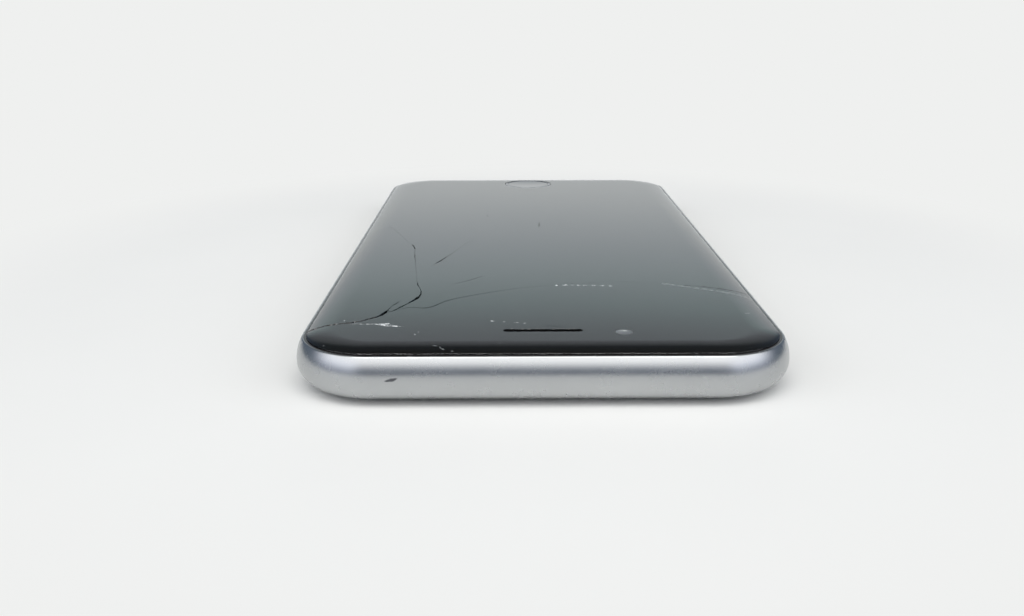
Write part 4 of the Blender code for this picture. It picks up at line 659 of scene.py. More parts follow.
def aluminium(name, colour):
    """Anodised aluminium, bead-blasted before it was dyed: a fine matt grain with a soft broad shine,
    and one dark scuff on the earpiece end. The grain is drawn coarser than the real 0.05 mm beads'."""
    material, tree, shader, place = new_material(name, {"Metallic": 1.0})
    tone = mottle(tree, place, 9.0, shade(colour, 0.985), shade(colour, 1.015))
    mark = add_node(tree, "Mapping", {"Vector": place, "Location": SCUFF_PLACE, "Scale": SCUFF_SIZE,
                                      "Rotation": (0, SCUFF_SLANT, 0)}, vector_type="TEXTURE")
    far = add_node(tree, "VectorMath", {0: (mark, "Vector")}, operation="LENGTH")
    streaks = add_node(tree, "TexNoise", {"Vector": (mark, "Vector"), "Scale": 2.4, "Detail": 5.0})
    rough_edge = add_node(tree, "Math", {0: (streaks, "Fac"), 1: 0.9, 2: (far, "Value")},
                          operation="MULTIPLY_ADD")
    inside = add_node(tree, "ValToRGB", {"Fac": (rough_edge, "Value")}, ramp=((0.85, 0.9), (1.25, 0.0)))
    worn = add_node(tree, "Mix", {0: (inside, "Color"), 6: (tone, "Color"), 7: opaque("#4C4D52")},
                    data_type="RGBA")
    link(tree, worn, 2, shader, "Base Color")
    polish = mottle(tree, place, 2.0, 0.262, 0.278)
    link(tree, polish, "Color", shader, "Roughness")
    grain = add_node(tree, "TexNoise", {"Vector": place, "Scale": per_metre(0.16), "Detail": 2.0})
    bump(tree, shader, (grain, "Fac"), 0.0004 * MM)
    return material


def moulded(name, colour, roughness, grain=0.25, depth=0.004, ior=1.5):
    """Moulded, cast or coated stuff: an even tone with slight clouds, and the mould's fine grain of
    this size and depth in millimetres."""
    material, tree, shader, place = new_material(name, {"IOR": ior})
    link(tree, mottle(tree, place, 3.0, shade(colour, 0.85), shade(colour, 1.15)), "Color",
         shader, "Base Color")
    link(tree, mottle(tree, place, 1.2, roughness * 0.88, roughness * 1.12), "Color", shader, "Roughness")
    skin = add_node(tree, "TexNoise", {"Vector": place, "Scale": per_metre(grain), "Detail": 3.0})
    bump(tree, shader, (skin, "Fac"), depth * MM)
    return material


def metal(name, colour, roughness, stretch=(1, 1, 1), size=0.4, depth=0.003):
    """Rolled, drawn or plated metal: the tool's fine lines run along the axis with the lowest stretch."""
    material, tree, shader, place = new_material(name, {"Metallic": 1.0})
    run = add_node(tree, "Mapping", {"Vector": place, "Scale": stretch})
    link(tree, mottle(tree, (run, "Vector"), 4.0, shade(colour, 0.9), shade(colour, 1.08)), "Color",
         shader, "Base Color")
    lines = add_node(tree, "TexNoise", {"Vector": (run, "Vector"), "Scale": per_metre(size), "Detail": 4.0})
    spread = add_node(tree, "MapRange", {"Value": (lines, "Fac"), "To Min": roughness * 0.8,
                                         "To Max": roughness * 1.25})
    link(tree, spread, "Result", shader, "Roughness")
    bump(tree, shader, (lines, "Fac"), depth * MM)
    return material


def cover_glass(name):
    """Polished aluminosilicate glass: clear, with a faint film of handling that dulls its shine in
    clouds, a few hairline scratches and a little dust, whose specks are drawn larger than life."""
    material, tree, shader, place = new_material(name, {"IOR": 1.5})
    film = mottle(tree, place, 14.0, 0.035, 0.075, detail=6.0)
    link(tree, film, "Color", shader, "Roughness")
    specks = add_node(tree, "TexVoronoi", {"Vector": place, "Scale": per_metre(2.6), "Randomness": 1.0})
    chosen = add_node(tree, "Math", {0: (specks, "Color"), 1: 0.42}, operation="GREATER_THAN")
    small = add_node(tree, "ValToRGB", {"Fac": (specks, "Distance")}, ramp=((0.02, 0.0), (0.034, 1.0)))
    clear = add_node(tree, "Math", {0: (small, "Color"), 1: (chosen, "Value")}, operation="MAXIMUM")
    link(tree, clear, "Value", shader, "Transmission Weight")
    tone = add_node(tree, "Mix", {0: (clear, "Value"), 6: opaque("#8A8D8F"), 7: opaque("#FFFFFF")},
                    data_type="RGBA")
    link(tree, tone, 2, shader, "Base Color")
    turn = add_node(tree, "Mapping", {"Vector": place, "Rotation": (0, 0, 0.5), "Scale": (0.04, 1, 1)})
    scratches = add_node(tree, "TexNoise", {"Vector": (turn, "Vector"), "Scale": per_metre(0.5),
                                            "Detail": 2.0})
    thin = add_node(tree, "ValToRGB", {"Fac": (scratches, "Fac")}, ramp=((0.68, 0.0), (0.72, 1.0)))
    bump(tree, shader, (thin, "Color"), 0.0008 * MM)
    return material


def printed_underside(name, ink, display):
    """The underside of the glass: black ink round the display, which is bonded to the glass and shows
    a little lighter, and a clear round window before the front camera."""
    material, tree, shader, place = new_material(name, {
        "IOR": 1.5, "Specular IOR Level": 0.0, "Roughness": 0.4})
    split = add_node(tree, "SeparateXYZ", {"Vector": place})
    shown = within(tree, split, 1.0, DISPLAY_HALF_WIDTH, DISPLAY_HALF_LENGTH)
    deep = mottle(tree, place, 5.0, shade(display, 0.9), shade(display, 1.0))
    tone = add_node(tree, "Mix", {0: shown, 6: shade(ink, 1.0), 7: (deep, "Color")}, data_type="RGBA")
    gap = add_node(tree, "VectorMath", {0: place, 1: (*FRONT_LENS, GLASS_LOW_Z)}, operation="DISTANCE")
    window = add_node(tree, "Math", {0: (gap, "Value"), 1: WINDOW_RADIUS}, operation="LESS_THAN")
    clear = add_node(tree, "Mix", {0: (window, "Value"), 6: (tone, 2), 7: opaque("#FFFFFF")},
                     data_type="RGBA")
    link(tree, clear, 2, shader, "Base Color")
    link(tree, window, "Value", shader, "Transmission Weight")
    return material


def fractured_glass_painted_shade(name):
    """The broken face of glass: clear, with a grey tint that darkens what shows through it as painted shade
    in the cracks, and the fine steps that a running crack leaves.
    """
    material, tree, shader, place = new_material(name, {
        "IOR": 1.5, "Specular IOR Level": 0.12, "Transmission Weight": 1.0, "Roughness": 0.08})
    # The grey tint is painted shade: it darkens the light that passes the broken faces, so the cracks read
    # dark
    link(tree, mottle(tree, place, 0.6, opaque("#2C3133"), opaque("#5F6668")), "Color",
         shader, "Base Color")
    ridges = add_node(tree, "TexNoise", {"Vector": place, "Scale": per_metre(0.3), "Detail": 3.0})
    bump(tree, shader, (ridges, "Fac"), 0.008 * MM)
    return material


def crushed_glass(name):
    """Glass that was crushed where it was hit: a white powdery face that scatters the light."""
    material, tree, shader, place = new_material(name, {"IOR": 1.5, "Roughness": 0.45})
    link(tree, mottle(tree, place, 0.3, opaque("#565C5E"), opaque("#ECF0F0"), reach=(0.42, 0.62)),
         "Color", shader, "Base Color")
    grit = add_node(tree, "TexVoronoi", {"Vector": place, "Scale": per_metre(0.2)})
    bump(tree, shader, (grit, "Distance"), 0.03 * MM)
    return material


def coated_lens_painted_sheen(name, tint, edge):
    """Polished lens glass over a dark barrel. The coloured sheen of its coating is painted into the base
    colour, turning purple towards a grazing view: a painted reflection.
    """
    material, tree, shader, place = new_material(name, {
        "IOR": 1.55, "Roughness": 0.04, "Coat Weight": 0.8, "Coat Roughness": 0.02})
    # Painted reflection: the base colour turns from the tint to the sheen colour as the surface turns away
    # from the view
    turn = add_node(tree, "LayerWeight", {"Blend": 0.35})
    tone = add_node(tree, "ValToRGB", {"Fac": (turn, "Facing")},
                    ramp=((0.0, opaque(tint)), (0.75, opaque(edge))))
    clouds = mottle(tree, place, 0.8, 0.85, 1.0)
    soft = add_node(tree, "Mix", {0: 1.0, 6: (tone, "Color"), 7: (clouds, "Color")},
                    data_type="RGBA", blend_type="MULTIPLY")
    link(tree, soft, 2, shader, "Base Color")
    return material


def clear_cover(name):
    """The clear disc over the rear camera, a hard polished crystal."""
    material, tree, shader, place = new_material(name, {
        "IOR": 1.76, "Transmission Weight": 1.0})
    link(tree, mottle(tree, place, 3.0, 0.0, 0.02), "Color", shader, "Roughness")
    return material


def flash_diffuser(name):
    """The flash's frosted lens over a yellow phosphor, with its fine moulded rings."""
    material, tree, shader, place = new_material(name, {
        "IOR": 1.5, "Roughness": 0.28, "Coat Weight": 0.5, "Coat Roughness": 0.1})
    local = add_node(tree, "VectorMath", {0: place, 1: (FLASH_X, REAR_CAMERA[1], 0)}, operation="SUBTRACT")
    flat = add_node(tree, "VectorMath", {0: (local, "Vector"), 1: (1, 1, 0)}, operation="MULTIPLY")
    reach = add_node(tree, "VectorMath", {0: (flat, "Vector")}, operation="LENGTH")
    tone = add_node(tree, "ValToRGB", {"Fac": (reach, "Value")}, ramp=((0.0, opaque("#E3C25C")),
                                                                      (0.0021, opaque("#EFEBDD"))))
    link(tree, tone, "Color", shader, "Base Color")
    frost = add_node(tree, "TexNoise", {"Vector": place, "Scale": per_metre(0.15), "Detail": 2.0})
    bump(tree, shader, (frost, "Fac"), 0.004 * MM)
    return material


def board_laminate(name):
    """Fibreglass laminate under blue-black solder mask, with its tracks just showing through."""
    material, tree, shader, place = new_material(name, {"IOR": 1.5})
    tracks = add_node(tree, "TexBrick", {"Vector": place, "Color1": opaque("#16202A"),
                                         "Color2": opaque("#1E2B38"), "Mortar": opaque("#2F4152"),
                                         "Scale": per_metre(2.0), "Mortar Size": 0.04, "Bias": 0.2})
    link(tree, tracks, "Color", shader, "Base Color")
    link(tree, mottle(tree, place, 1.0, 0.35, 0.5), "Color", shader, "Roughness")
    bump(tree, shader, (tracks, "Fac"), 0.02 * MM)
    return material


def woven_mesh(name, colour, pitch):
    """Acoustic cloth or wire mesh: fine crossed threads, with the gaps between them painted dark as painted
    shade. Real ones lie 0.06 mm apart, and they are drawn coarser so that they show."""
    material, tree, shader, place = new_material(name, {"IOR": 1.5, "Roughness": 0.7})
    threads = 0.0
    for way in ("X", "Y", "Z"):
        wave = add_node(tree, "TexWave", {"Vector": place, "Scale": per_metre(pitch) * math.pi / 10},
                        bands_direction=way)
        highest = add_node(tree, "Math", {0: threads, 1: (wave, "Fac")}, operation="MAXIMUM")
        threads = highest, "Value"
    # The gaps between the threads are painted dark at a fifth of the colour: painted shade
    tone = add_node(tree, "ValToRGB", {"Fac": threads},
                    ramp=((0.2, shade(colour, 0.2)), (0.9, shade(colour, 1.0))))
    link(tree, tone, "Color", shader, "Base Color")
    bump(tree, shader, threads, 0.02 * MM)
    return material


def contact_card(name):
    """The network card: white moulded plastic with gold-plated contact pads parted by fine lines."""
    material, tree, shader, place = new_material(name, {"IOR": 1.5})
    local = add_node(tree, "VectorMath", {0: place, 1: CARD_MIDDLE}, operation="SUBTRACT")
    split = add_node(tree, "SeparateXYZ", {"Vector": (local, "Vector")})
    pads = add_node(tree, "TexBrick", {"Vector": (local, "Vector"), "Scale": 1.0, "Brick Width": 3.4 * MM,
                                       "Row Height": 2.1 * MM, "Mortar Size": 0.13 * MM,
                                       "Mortar Smooth": 0.0, "Color1": opaque("#FFFFFF"),
                                       "Color2": opaque("#FFFFFF"), "Mortar": opaque("#000000")},
                    offset=0.0, squash=1.0)
    gold = within(tree, split, (pads, "Color"), 5.1 * MM, 3.4 * MM)
    tone = add_node(tree, "Mix", {0: gold, 6: opaque("#E9E9E6"), 7: opaque("#D2AE5C")}, data_type="RGBA")
    link(tree, tone, 2, shader, "Base Color")
    tree.links.new(gold[0].outputs[gold[1]], shader.inputs["Metallic"])
    link(tree, mottle(tree, place, 0.8, 0.24, 0.32), "Color", shader, "Roughness")
    bump(tree, shader, gold, 0.02 * MM)
    return material


def table_paper(name, colour):
    """The plain pale surface that the phone lies on, with the faint clouds of a wiped table. Away from the
    phone it runs into the plain backdrop, for the camera and for what is seen through glass."""
    material, tree, shader, place = new_material(name, {"IOR": 1.45, "Roughness": 0.6})
    link(tree, mottle(tree, place, 60.0, shade(colour, 0.985), shade(colour, 1.0)), "Color",
         shader, "Base Color")
    flat = add_node(tree, "VectorMath", {0: place, 1: TABLE_FADE}, operation="MULTIPLY")
    far = add_node(tree, "VectorMath", {0: (flat, "Vector")}, operation="LENGTH")
    away = add_node(tree, "MapRange", {"Value": (far, "Value"), "From Min": 1.0, "From Max": TABLE_FADE_END},
                    interpolation_type="SMOOTHSTEP")
    rays = add_node(tree, "LightPath")
    shown = add_node(tree, "Math", {0: (rays, "Is Camera Ray"), 1: (rays, "Is Transmission Ray")},
                     operation="MAXIMUM")
    share = add_node(tree, "Math", {0: (away, "Result"), 1: (shown, "Value")}, operation="MULTIPLY")
    plain = add_node(tree, "Emission", {"Color": opaque(BACKDROP), "Strength": 1.0})
    both = add_node(tree, "MixShader", {0: (share, "Value"), 1: (shader, "BSDF"), 2: (plain, "Emission")})
    output = next(node for node in tree.nodes if node.type == "OUTPUT_MATERIAL")
    tree.links.new(both.outputs["Shader"], output.inputs["Surface"])
    return material


# The finishes by name. Each is made from its name and the phone's colours
FINISHES = {
    # Blasted and anodised metal: a soft broad shine
    "blasted_aluminium": lambda name, look: aluminium(name, look.aluminium),
    # Moulded polymers and rubber: an even tone, whose shine is duller the rougher the mould was
    "band_polymer": lambda name, look: moulded(name, look.band, 0.42),
    "bezel_polymer": lambda name, look: moulded(name, look.bezel, 0.12, grain=1.5, depth=0.0),
    "barrel_polymer": lambda name, look: moulded(name, linear("#101113"), 0.5),
    "moulded_polymer": lambda name, look: moulded(name, linear("#1B1C1E"), 0.45),
    "silicone_rubber": lambda name, look: moulded(name, linear("#161616"), 0.75, grain=0.3, depth=0.01,
                                                  ior=1.41),
    # Glass and crystal: clear where polished, dark with painted shade where split, white where crushed, inky
    # where printed
    "polished_glass": lambda name, look: cover_glass(name),
    "printed_underside": lambda name, look: printed_underside(name, look.ink, look.display),
    "fractured_glass_painted_shade": lambda name, look: fractured_glass_painted_shade(name),
    "crushed_glass": lambda name, look: crushed_glass(name),
    "inked_glass_rim": lambda name, look: moulded(name, look.ink, 0.06, grain=1.0, depth=0.0001),
    "home_cap_crystal": lambda name, look: moulded(name, linear("#0B0C0E"), 0.06, grain=0.6,
                                                   depth=0.0002, ior=1.76),
    "camera_crystal": lambda name, look: clear_cover(name),
    # The second colour is the coating's painted sheen, a painted reflection
    "coated_lens_painted_sheen": lambda name, look: coated_lens_painted_sheen(name, "#0C1420", "#3B2A55"),
    "flash_diffuser": lambda name, look: flash_diffuser(name),
    # Metals: a sharp shine where polished, a soft one where plated or pressed, a dull grain where
    # sintered
    "polished_dark_steel": lambda name, look: metal(name, linear("#5C5E63"), 0.12),
    "satin_nickel": lambda name, look: metal(name, linear("#C9CCCE"), 0.3),
    "gold_plating": lambda name, look: metal(name, linear("#C9A44C"), 0.25),
    "pressed_steel": lambda name, look: metal(name, linear("#B4B5B8"), 0.32, stretch=(0.1, 1, 1)),
    "sintered_tungsten": lambda name, look: metal(name, linear("#6E6C6A"), 0.5, size=0.15, depth=0.01),
    # Films and foils: even, with the slow waves of a thin laminate
    "laminated_foil": lambda name, look: moulded(name, linear("#202124"), 0.5, grain=1.6, depth=0.03),
    "pull_tape_film": lambda name, look: moulded(name, linear("#E6E6E2"), 0.6, grain=0.8, depth=0.01),
    "amber_flex_film": lambda name, look: moulded(name, linear("#7A4A1C"), 0.3, grain=0.7, depth=0.008),
    "polarising_film": lambda name, look: moulded(name, linear("#0E1013"), 0.12, grain=2.0, depth=0.001),
    # Woven, printed and painted things
    "acoustic_cloth": lambda name, look: woven_mesh(name, linear("#0E0F10"), 0.25),
    "contact_card": lambda name, look: contact_card(name),
    "board_laminate": lambda name, look: board_laminate(name),
    "pale_table": lambda name, look: table_paper(name, look.floor),
}

# The finishes of the cover glass, as they come on its mesh
GLASS_FINISHES = ("polished_glass", "printed_underside", "fractured_glass_painted_shade", "crushed_glass",
                  "inked_glass_rim")

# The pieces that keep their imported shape, by finish
PACKED_PIECES = {
    "blasted_aluminium": ("sim_tray",),
    "pressed_steel": ("display_shield", "board_lower_shield", "processor_shield", "radio_shield",
                      "display_connector_cover", "home_button_bracket", "home_button_switch",
                      "sim_reader", "charge_port", "vibration_motor", "motor_shaft"),
    "moulded_polymer": ("headphone_jack", "rear_camera_body", "proximity_sensor", "earpiece_speaker",
                        "loudspeaker", "wifi_antenna", "mute_switch_body", "power_button_switch",
                        "volume_button_switches"),
    "acoustic_cloth": ("earpiece_mesh", "loudspeaker_mesh"),
    "gold_plating": ("bottom_microphone", "rear_microphone", "flash_led"),
    "contact_card": ("sim_card",),
    "board_laminate": ("logic_board",),
    "laminated_foil": ("battery",),
    "pull_tape_film": ("battery_tape_left", "battery_tape_right"),
    "amber_flex_film": ("battery_connector_tab", "dock_flex", "sensor_flex"),
    "silicone_rubber": ("home_button_gasket", "motor_cradle"),
    "sintered_tungsten": ("vibration_weight",),
    "polarising_film": ("lcd_panel",),
}


def finish(name):
    """The material of this name, which is made when the first piece asks for it."""
    return bpy.data.materials.get(name) or FINISHES[name](name, bpy.context.scene.phone_look)


# Operators

class PHONE_OT_place(bpy.types.Operator):
    """Sets the camera, the table, the lamps and the surroundings"""
    bl_idname = "phone.place"
    bl_label = "Camera, table and light"

    def execute(self, context):
        scene = context.scene
        scene.view_settings.view_transform = "Standard"
        camera = bpy.data.objects.new("camera", bpy.data.cameras.new("camera"))
        camera.data.sensor_width = SENSOR_WIDTH
        camera.data.lens = SENSOR_WIDTH * FOCAL_PIXELS / PICTURE_PIXELS
        pitch, yaw, roll = (math.radians(angle) for angle in CAMERA_ANGLES)
        ahead = Vector((math.sin(yaw) * math.cos(pitch), math.cos(yaw) * math.cos(pitch), -math.sin(pitch)))
        right = Vector((math.cos(yaw), -math.sin(yaw), 0))
        up = right.cross(ahead)
        turned_right = right * math.cos(roll) + up * math.sin(roll)
        turned_up = up * math.cos(roll) - right * math.sin(roll)
        camera.matrix_world = Matrix.Translation(CAMERA_PLACE) @ Matrix(
            (turned_right, turned_up, -ahead)).transposed().to_4x4()
        camera.data.clip_start, camera.data.clip_end = CAMERA_CLIP
        scene.collection.objects.link(camera)
        scene.camera = camera
        self.make_table()
        self.make_lamps(scene)
        self.make_world(scene)
        return {"FINISHED"}

    def make_table(self):
        """The table touches the camera ring's rim and the back's far edge, so the phone lies level in
        the frame and the table leans by a third of a degree."""
        start = REAR_CAMERA[1] - RING_REST
        slope = BACK_Z / (HALF_LENGTH - BACK_INSET - start)
        ring = circle(TABLE_RADIUS, 24)
        floor = loft("table", [[Vector((x, y, (y - start) * slope - depth)) for x, y in ring]
                               for depth in (TABLE_DEPTH, 0.0)])
        floor.data.materials.append(finish("pale_table"))

    def make_lamps(self, scene):
        for name, place, size, power in LAMPS:
            lamp = bpy.data.lights.new(name, "AREA")
            lamp.shape = "RECTANGLE"
            lamp.size, lamp.size_y = size
            lamp.energy = power
            made = bpy.data.objects.new(name, lamp)
            made.location = place
            made.rotation_euler = (-Vector(place)).to_track_quat("-Z", "Y").to_euler()
            scene.collection.objects.link(made)

    def make_world(self, scene):
        """A studio that the glass and the aluminium mirror: dim sides, a white sweep beyond the phone,
        bright flanks, and a lit wall behind the camera. The camera itself sees the plain backdrop."""
        world = bpy.data.worlds.new("studio")
        scene.world = world
        world.use_nodes = True
        tree = world.node_tree
        tree.nodes.clear()
        way = add_node(tree, "TexCoord")
        split = add_node(tree, "SeparateXYZ", {"Vector": (way, "Generated")})
        level = add_node(tree, "VectorMath", {0: (way, "Generated"), 1: (1, 1, 0)}, operation="MULTIPLY")
        heading = add_node(tree, "VectorMath", {0: (level, "Vector")}, operation="NORMALIZE")
        turn = add_node(tree, "SeparateXYZ", {"Vector": (heading, "Vector")})
        tone = add_node(tree, "ValToRGB", {"Fac": (split, "Z")}, ramp=SIDE_TONES), "Color"
        for tones, start, end in ZONES:
            zone = add_node(tree, "ValToRGB", {"Fac": (split, "Z")}, ramp=tones)
            share = add_node(tree, "MapRange", {"Value": (turn, "Y"), "From Min": start, "From Max": end},
                             interpolation_type="SMOOTHSTEP")
            tone = add_node(tree, "Mix", {0: (share, "Result"), 6: tone, 7: (zone, "Color")},
                            data_type="RGBA"), 2
        rays = add_node(tree, "LightPath")
        seen = add_node(tree, "Mix", {0: (rays, "Is Camera Ray"), 6: tone, 7: opaque(BACKDROP)},
                        data_type="RGBA")
        sky = add_node(tree, "Background", {"Color": (seen, 2), "Strength": 1.0})
        add_node(tree, "OutputWorld", {"Surface": (sky, "Background")})


class PHONE_OT_housing(bpy.types.Operator):
    """Builds the anodised housing with its openings, and the two plastic bands in its back"""
    bl_idname = "phone.housing"
    bl_label = "Housing and bands"

    def execute(self, context):
        section = side_section()
        section += [(OPENING_INSET, LIP_Z), (OPENING_INSET, LEDGE_Z), (WALL, LEDGE_Z),
                    (WALL, FLOOR_Z + CAVITY_CHAMFER), (WALL + CAVITY_CHAMFER, FLOOR_Z)]
        housing = loft("housing", [on_axis("Z", body_outline(inset), z) for inset, z in section])
        housing.data.materials.append(finish("blasted_aluminium"))
        grooves = [self.band("groove", sign * BAND_Y, BAND_HALF + FIT, -BAND_DEPTH, BAND_DEPTH + FIT, FIT)
                   for sign in (-1, 1)]
        carve(housing, self.side_openings() + self.edge_openings() + self.back_openings() + grooves)
        dress(housing, "phone", "anodised_aluminium", "blasted_aluminium", "rear_housing")
        set_normals(housing, side_normal)
        for name, sign in (("antenna_band_top", -1), ("antenna_band_bottom", 1)):
            band = self.band(f"{name}_inlay", sign * BAND_Y, BAND_HALF, 0.0, BAND_DEPTH, 0.0)
            dress(band, "phone", "band_plastic", "band_polymer", name)
        return {"FINISHED"}

    def opening(self, axis, side, outline_at, face, centre):
        """A cutter for one opening through the wall, whose mouth at the face is chamfered."""
        shapes = ((outline_at(0), side * (face - WALL - CUT_PAST)),
                  (outline_at(0), side * (face - MOUTH_CHAMFER)),
                  (outline_at(-MOUTH_CHAMFER), side * face),
                  (outline_at(-MOUTH_CHAMFER), side * (face + CUT_PAST)))
        return stepped("opening", shapes, axis, centre)

    def side_openings(self):
        tools = []
        for side, y, length, height, corner in SIDE_OPENINGS:
            def outline_at(inset):
                return rounded_rectangle(length / 2 - inset, height / 2 - inset,
                                         max(corner - inset - TINY, TINY), SIDE_CORNER_STEPS)
            tools.append(self.opening("X", side, outline_at, HALF_WIDTH, (0, y, WIDEST_Z)))
        return tools

    def edge_openings(self):
        tools = [self.opening("Y", 1, lambda inset: pill(PORT_LENGTH - 2 * inset, PORT_HEIGHT - 2 * inset),
                              HALF_LENGTH, (0, 0, PORT_Z))]
        for x, z, radius, steps in EDGE_HOLES:
            def outline_at(inset):
                return circle(radius - inset, steps)
            tools.append(self.opening("Y", 1, outline_at, HALF_LENGTH, (x, 0, z)))
        return tools

    def back_openings(self):
        return [turned("opening", [(radius, FLOOR_Z + CUT_PAST), (radius, BACK_Z + chamfer),
                                   (radius + chamfer, BACK_Z), (radius + chamfer, BACK_Z - CUT_PAST)],
                       (x, REAR_CAMERA[1], 0)) for x, radius, chamfer in BACK_HOLES]

    def band(self, name, y, half_width, outer, inner, top_gap):
        """A strip that follows the housing's outside from one side, under the back, to the other. It
        lies between two depths below that outside."""
        profile = [point for point in side_section() if point[1] < BAND_TOP_Z + top_gap]
        lines = []
        for depth in (outer, inner):
            line = []
            for inset, z in profile:
                normal = side_normal(Vector((HALF_WIDTH - inset, 0, z)))
                line.append((HALF_WIDTH - inset - normal.x * depth, z - normal.z * depth))
            lines.append(line)
        loop = lines[0][::-1] + [(-x, z) for x, z in lines[0]]
        loop += [(-x, z) for x, z in lines[1][::-1]] + lines[1]
        return stepped(name, ((loop, -half_width), (loop, half_width)), "Y", (0, y, 0))


class PHONE_OT_bezel(bpy.types.Operator):
    """Builds the plastic frame that carries the glass"""
    bl_idname = "phone.bezel"
    bl_label = "Bezel"

    def execute(self, context):
        section = [(BEZEL_INSET, LEDGE_Z + FIT)]
        curve = arc(BEZEL_STEPS)
        for corner, side, points in ((BEZEL_INSET + BEZEL_EDGE, -1, curve),
                                     (BEZEL_INNER - BEZEL_EDGE, 1, curve[::-1])):
            section += [(corner + side * BEZEL_EDGE * across, LIP_Z - BEZEL_EDGE * (1 - up))
                        for across, up in points]
        section += [(BEZEL_INNER, SHELF_TOP_Z), (BEZEL_SHELF, SHELF_TOP_Z), (BEZEL_SHELF, SHELF_LOW_Z),
                    (BEZEL_SKIRT, SHELF_LOW_Z), (BEZEL_SKIRT, LEDGE_Z + FIT)]
        bezel = loft("bezel", [on_axis("Z", body_outline(inset), z) for inset, z in section], closed=True)
        dress(bezel, "phone", "black_plastic", "bezel_polymer", "display_bezel")
        return {"FINISHED"}


class PHONE_OT_cover_glass(bpy.types.Operator):
    """Builds the cover glass, cuts its cracks and flakes, and parts it into its shards"""
    bl_idname = "phone.cover_glass"
    bl_label = "Shattered cover glass"

    def execute(self, context):
        section = [(GLASS_INSET + FIT, GLASS_LOW_Z), (GLASS_INSET, GLASS_LOW_Z + FIT)]
        section += [(GLASS_INSET + GLASS_CURVE_RUN * (1 - across),
                     GLASS_EDGE_Z + (GLASS_TOP_Z - GLASS_EDGE_Z) * up) for across, up in arc(GLASS_STEPS)]
        slab = loft("glass", [on_axis("Z", body_outline(inset), z) for inset, z in section])
        for name in GLASS_FINISHES:
            slab.data.materials.append(finish(name))
        carve(slab, [self.hole(lambda inset: pill(SLOT_LENGTH - 2 * inset, SLOT_HEIGHT - 2 * inset), SLOT_Y),
                     self.hole(lambda inset: circle(HOME_HOLE_RADIUS - inset, 20), HOME_Y)])
        damage = context.scene.phone_damage
        random_wear = random.Random(WEAR_SEED)
        cracks = {name: self.crack(name, damage.groove, random_wear) for name in CRACKS}
        tools = [cracks.pop(name) for name in SURFACE_CRACKS]
        tools += [self.chip(place, damage.flake_depth, "crushed_glass", random_wear) for place in FLAKES]
        tools += [self.chip(place, DEEP_CHIP_DEPTH, "fractured_glass_painted_shade", random_wear) for place in DEEP_CHIPS]
        carve(slab, tools + list(cracks.values()))
        self.part(slab)
        return {"FINISHED"}

    def hole(self, outline_at, y):
        """A cutter through the glass with a small polished chamfer at the top."""
        tool = stepped("hole", ((outline_at(0), GLASS_LOW_Z - CUT_PAST),
                                (outline_at(0), GLASS_TOP_Z - HOLE_CHAMFER),
                                (outline_at(-HOLE_CHAMFER), GLASS_TOP_Z),
                                (outline_at(-HOLE_CHAMFER), GLASS_TOP_Z + CUT_PAST)), "Z", (0, y, 0))
        tool.data.materials.append(finish("polished_glass"))
        return tool

    def crack(self, name, groove, random_wear):
        """A cutter along a crack: an uneven groove where the edges have chipped, and below it a thin gap
        through the glass, which a surface crack doesn't have."""
        rings = []
        line = self.crack_line(CRACKS[name], groove, random_wear)
        for i, (here, half) in enumerate(line):
            along = (line[min(i + 1, len(line) - 1)][0] - line[max(i - 1, 0)][0]).normalized()
            side = Vector((-along.y, along.x, 0))
            top, _ = glass_surface(here.x, here.y)
            left, right = (half * random_wear.uniform(*GROOVE_WIDTHS) + CRACK_GAP for _ in range(2))
            depth = min(GROOVE_MOST, GROOVE_LEAST + half * random_wear.uniform(*GROOVE_DEPTHS))
            shape = [(CRACK_GAP, top - depth), (right, top), (right, top + CUT_PAST),
                     (-left, top + CUT_PAST), (-left, top), (-CRACK_GAP, top - depth)]
            if name not in SURFACE_CRACKS:
                shape += [(-CRACK_GAP, GLASS_LOW_Z - CUT_PAST), (CRACK_GAP, GLASS_LOW_Z - CUT_PAST)]
            rings.append([here + side * reach + Vector((0, 0, z)) for reach, z in shape])
        tool = loft("crack", rings)
        # The sliver's crack gets the white crushed face as a painted highlight for a glinting facet, the
        # others the grey-tinted face of painted shade
        tool.data.materials.append(finish("crushed_glass" if name in PAINTED_GLINT_CRACKS else "fractured_glass_painted_shade"))
        return tool

    def crack_line(self, points, groove, random_wear):
        """The crack's line in small steps that stray a little, as (place, half width). Its ends reach a
        little into the cracks that it meets."""
        line = []
        for (x, y, half), (next_x, next_y, next_half) in zip(points, points[1:]):
            start, end = Vector((x, y, 0)) * MM, Vector((next_x, next_y, 0)) * MM
            count = max(1, round((end - start).length / CRACK_STEP))
            side = Vector((start.y - end.y, end.x - start.x, 0)).normalized()
            for step in range(count):
                share = step / count
                stray = random_wear.uniform(-CRACK_STRAY, CRACK_STRAY) if step else 0
                line.append((start.lerp(end, share) + side * stray,
                             (half + (next_half - half) * share) * MM * groove))
        line.append((Vector((*points[-1][:2], 0)) * MM, points[-1][2] * MM * groove))
        for end, inner in ((0, 1), (-1, -2)):
            here, half = line[end]
            line[end] = here + (here - line[inner][0]).normalized() * CRACK_OVERLAP, half
        return line

    def chip(self, place, depth, finish_name, random_wear):
        """A cutter for one ragged flake or chip."""
        x, y, length, width, angle = place
        top, _ = glass_surface(x * MM, y * MM)
        reach = [random_wear.uniform(*CHIP_REACHES) for _ in range(CHIP_CORNERS)]
        rings = []
        for share, level in CHIP_LEVELS:
            ring = []
            for i in range(CHIP_CORNERS):
                spin = math.tau * i / CHIP_CORNERS
                out = share * reach[i] * random_wear.uniform(*CHIP_WOBBLE) / 2 * MM
                corner = Vector((math.cos(spin) * length * out, math.sin(spin) * width * out, 0))
                corner.rotate(Matrix.Rotation(math.radians(angle), 3, "Z"))
                ring.append(corner + Vector((x * MM, y * MM, top + level * depth)))
            rings.append(ring)
        tool = loft("chip", rings)
        tool.data.materials.append(finish(finish_name))
        return tool

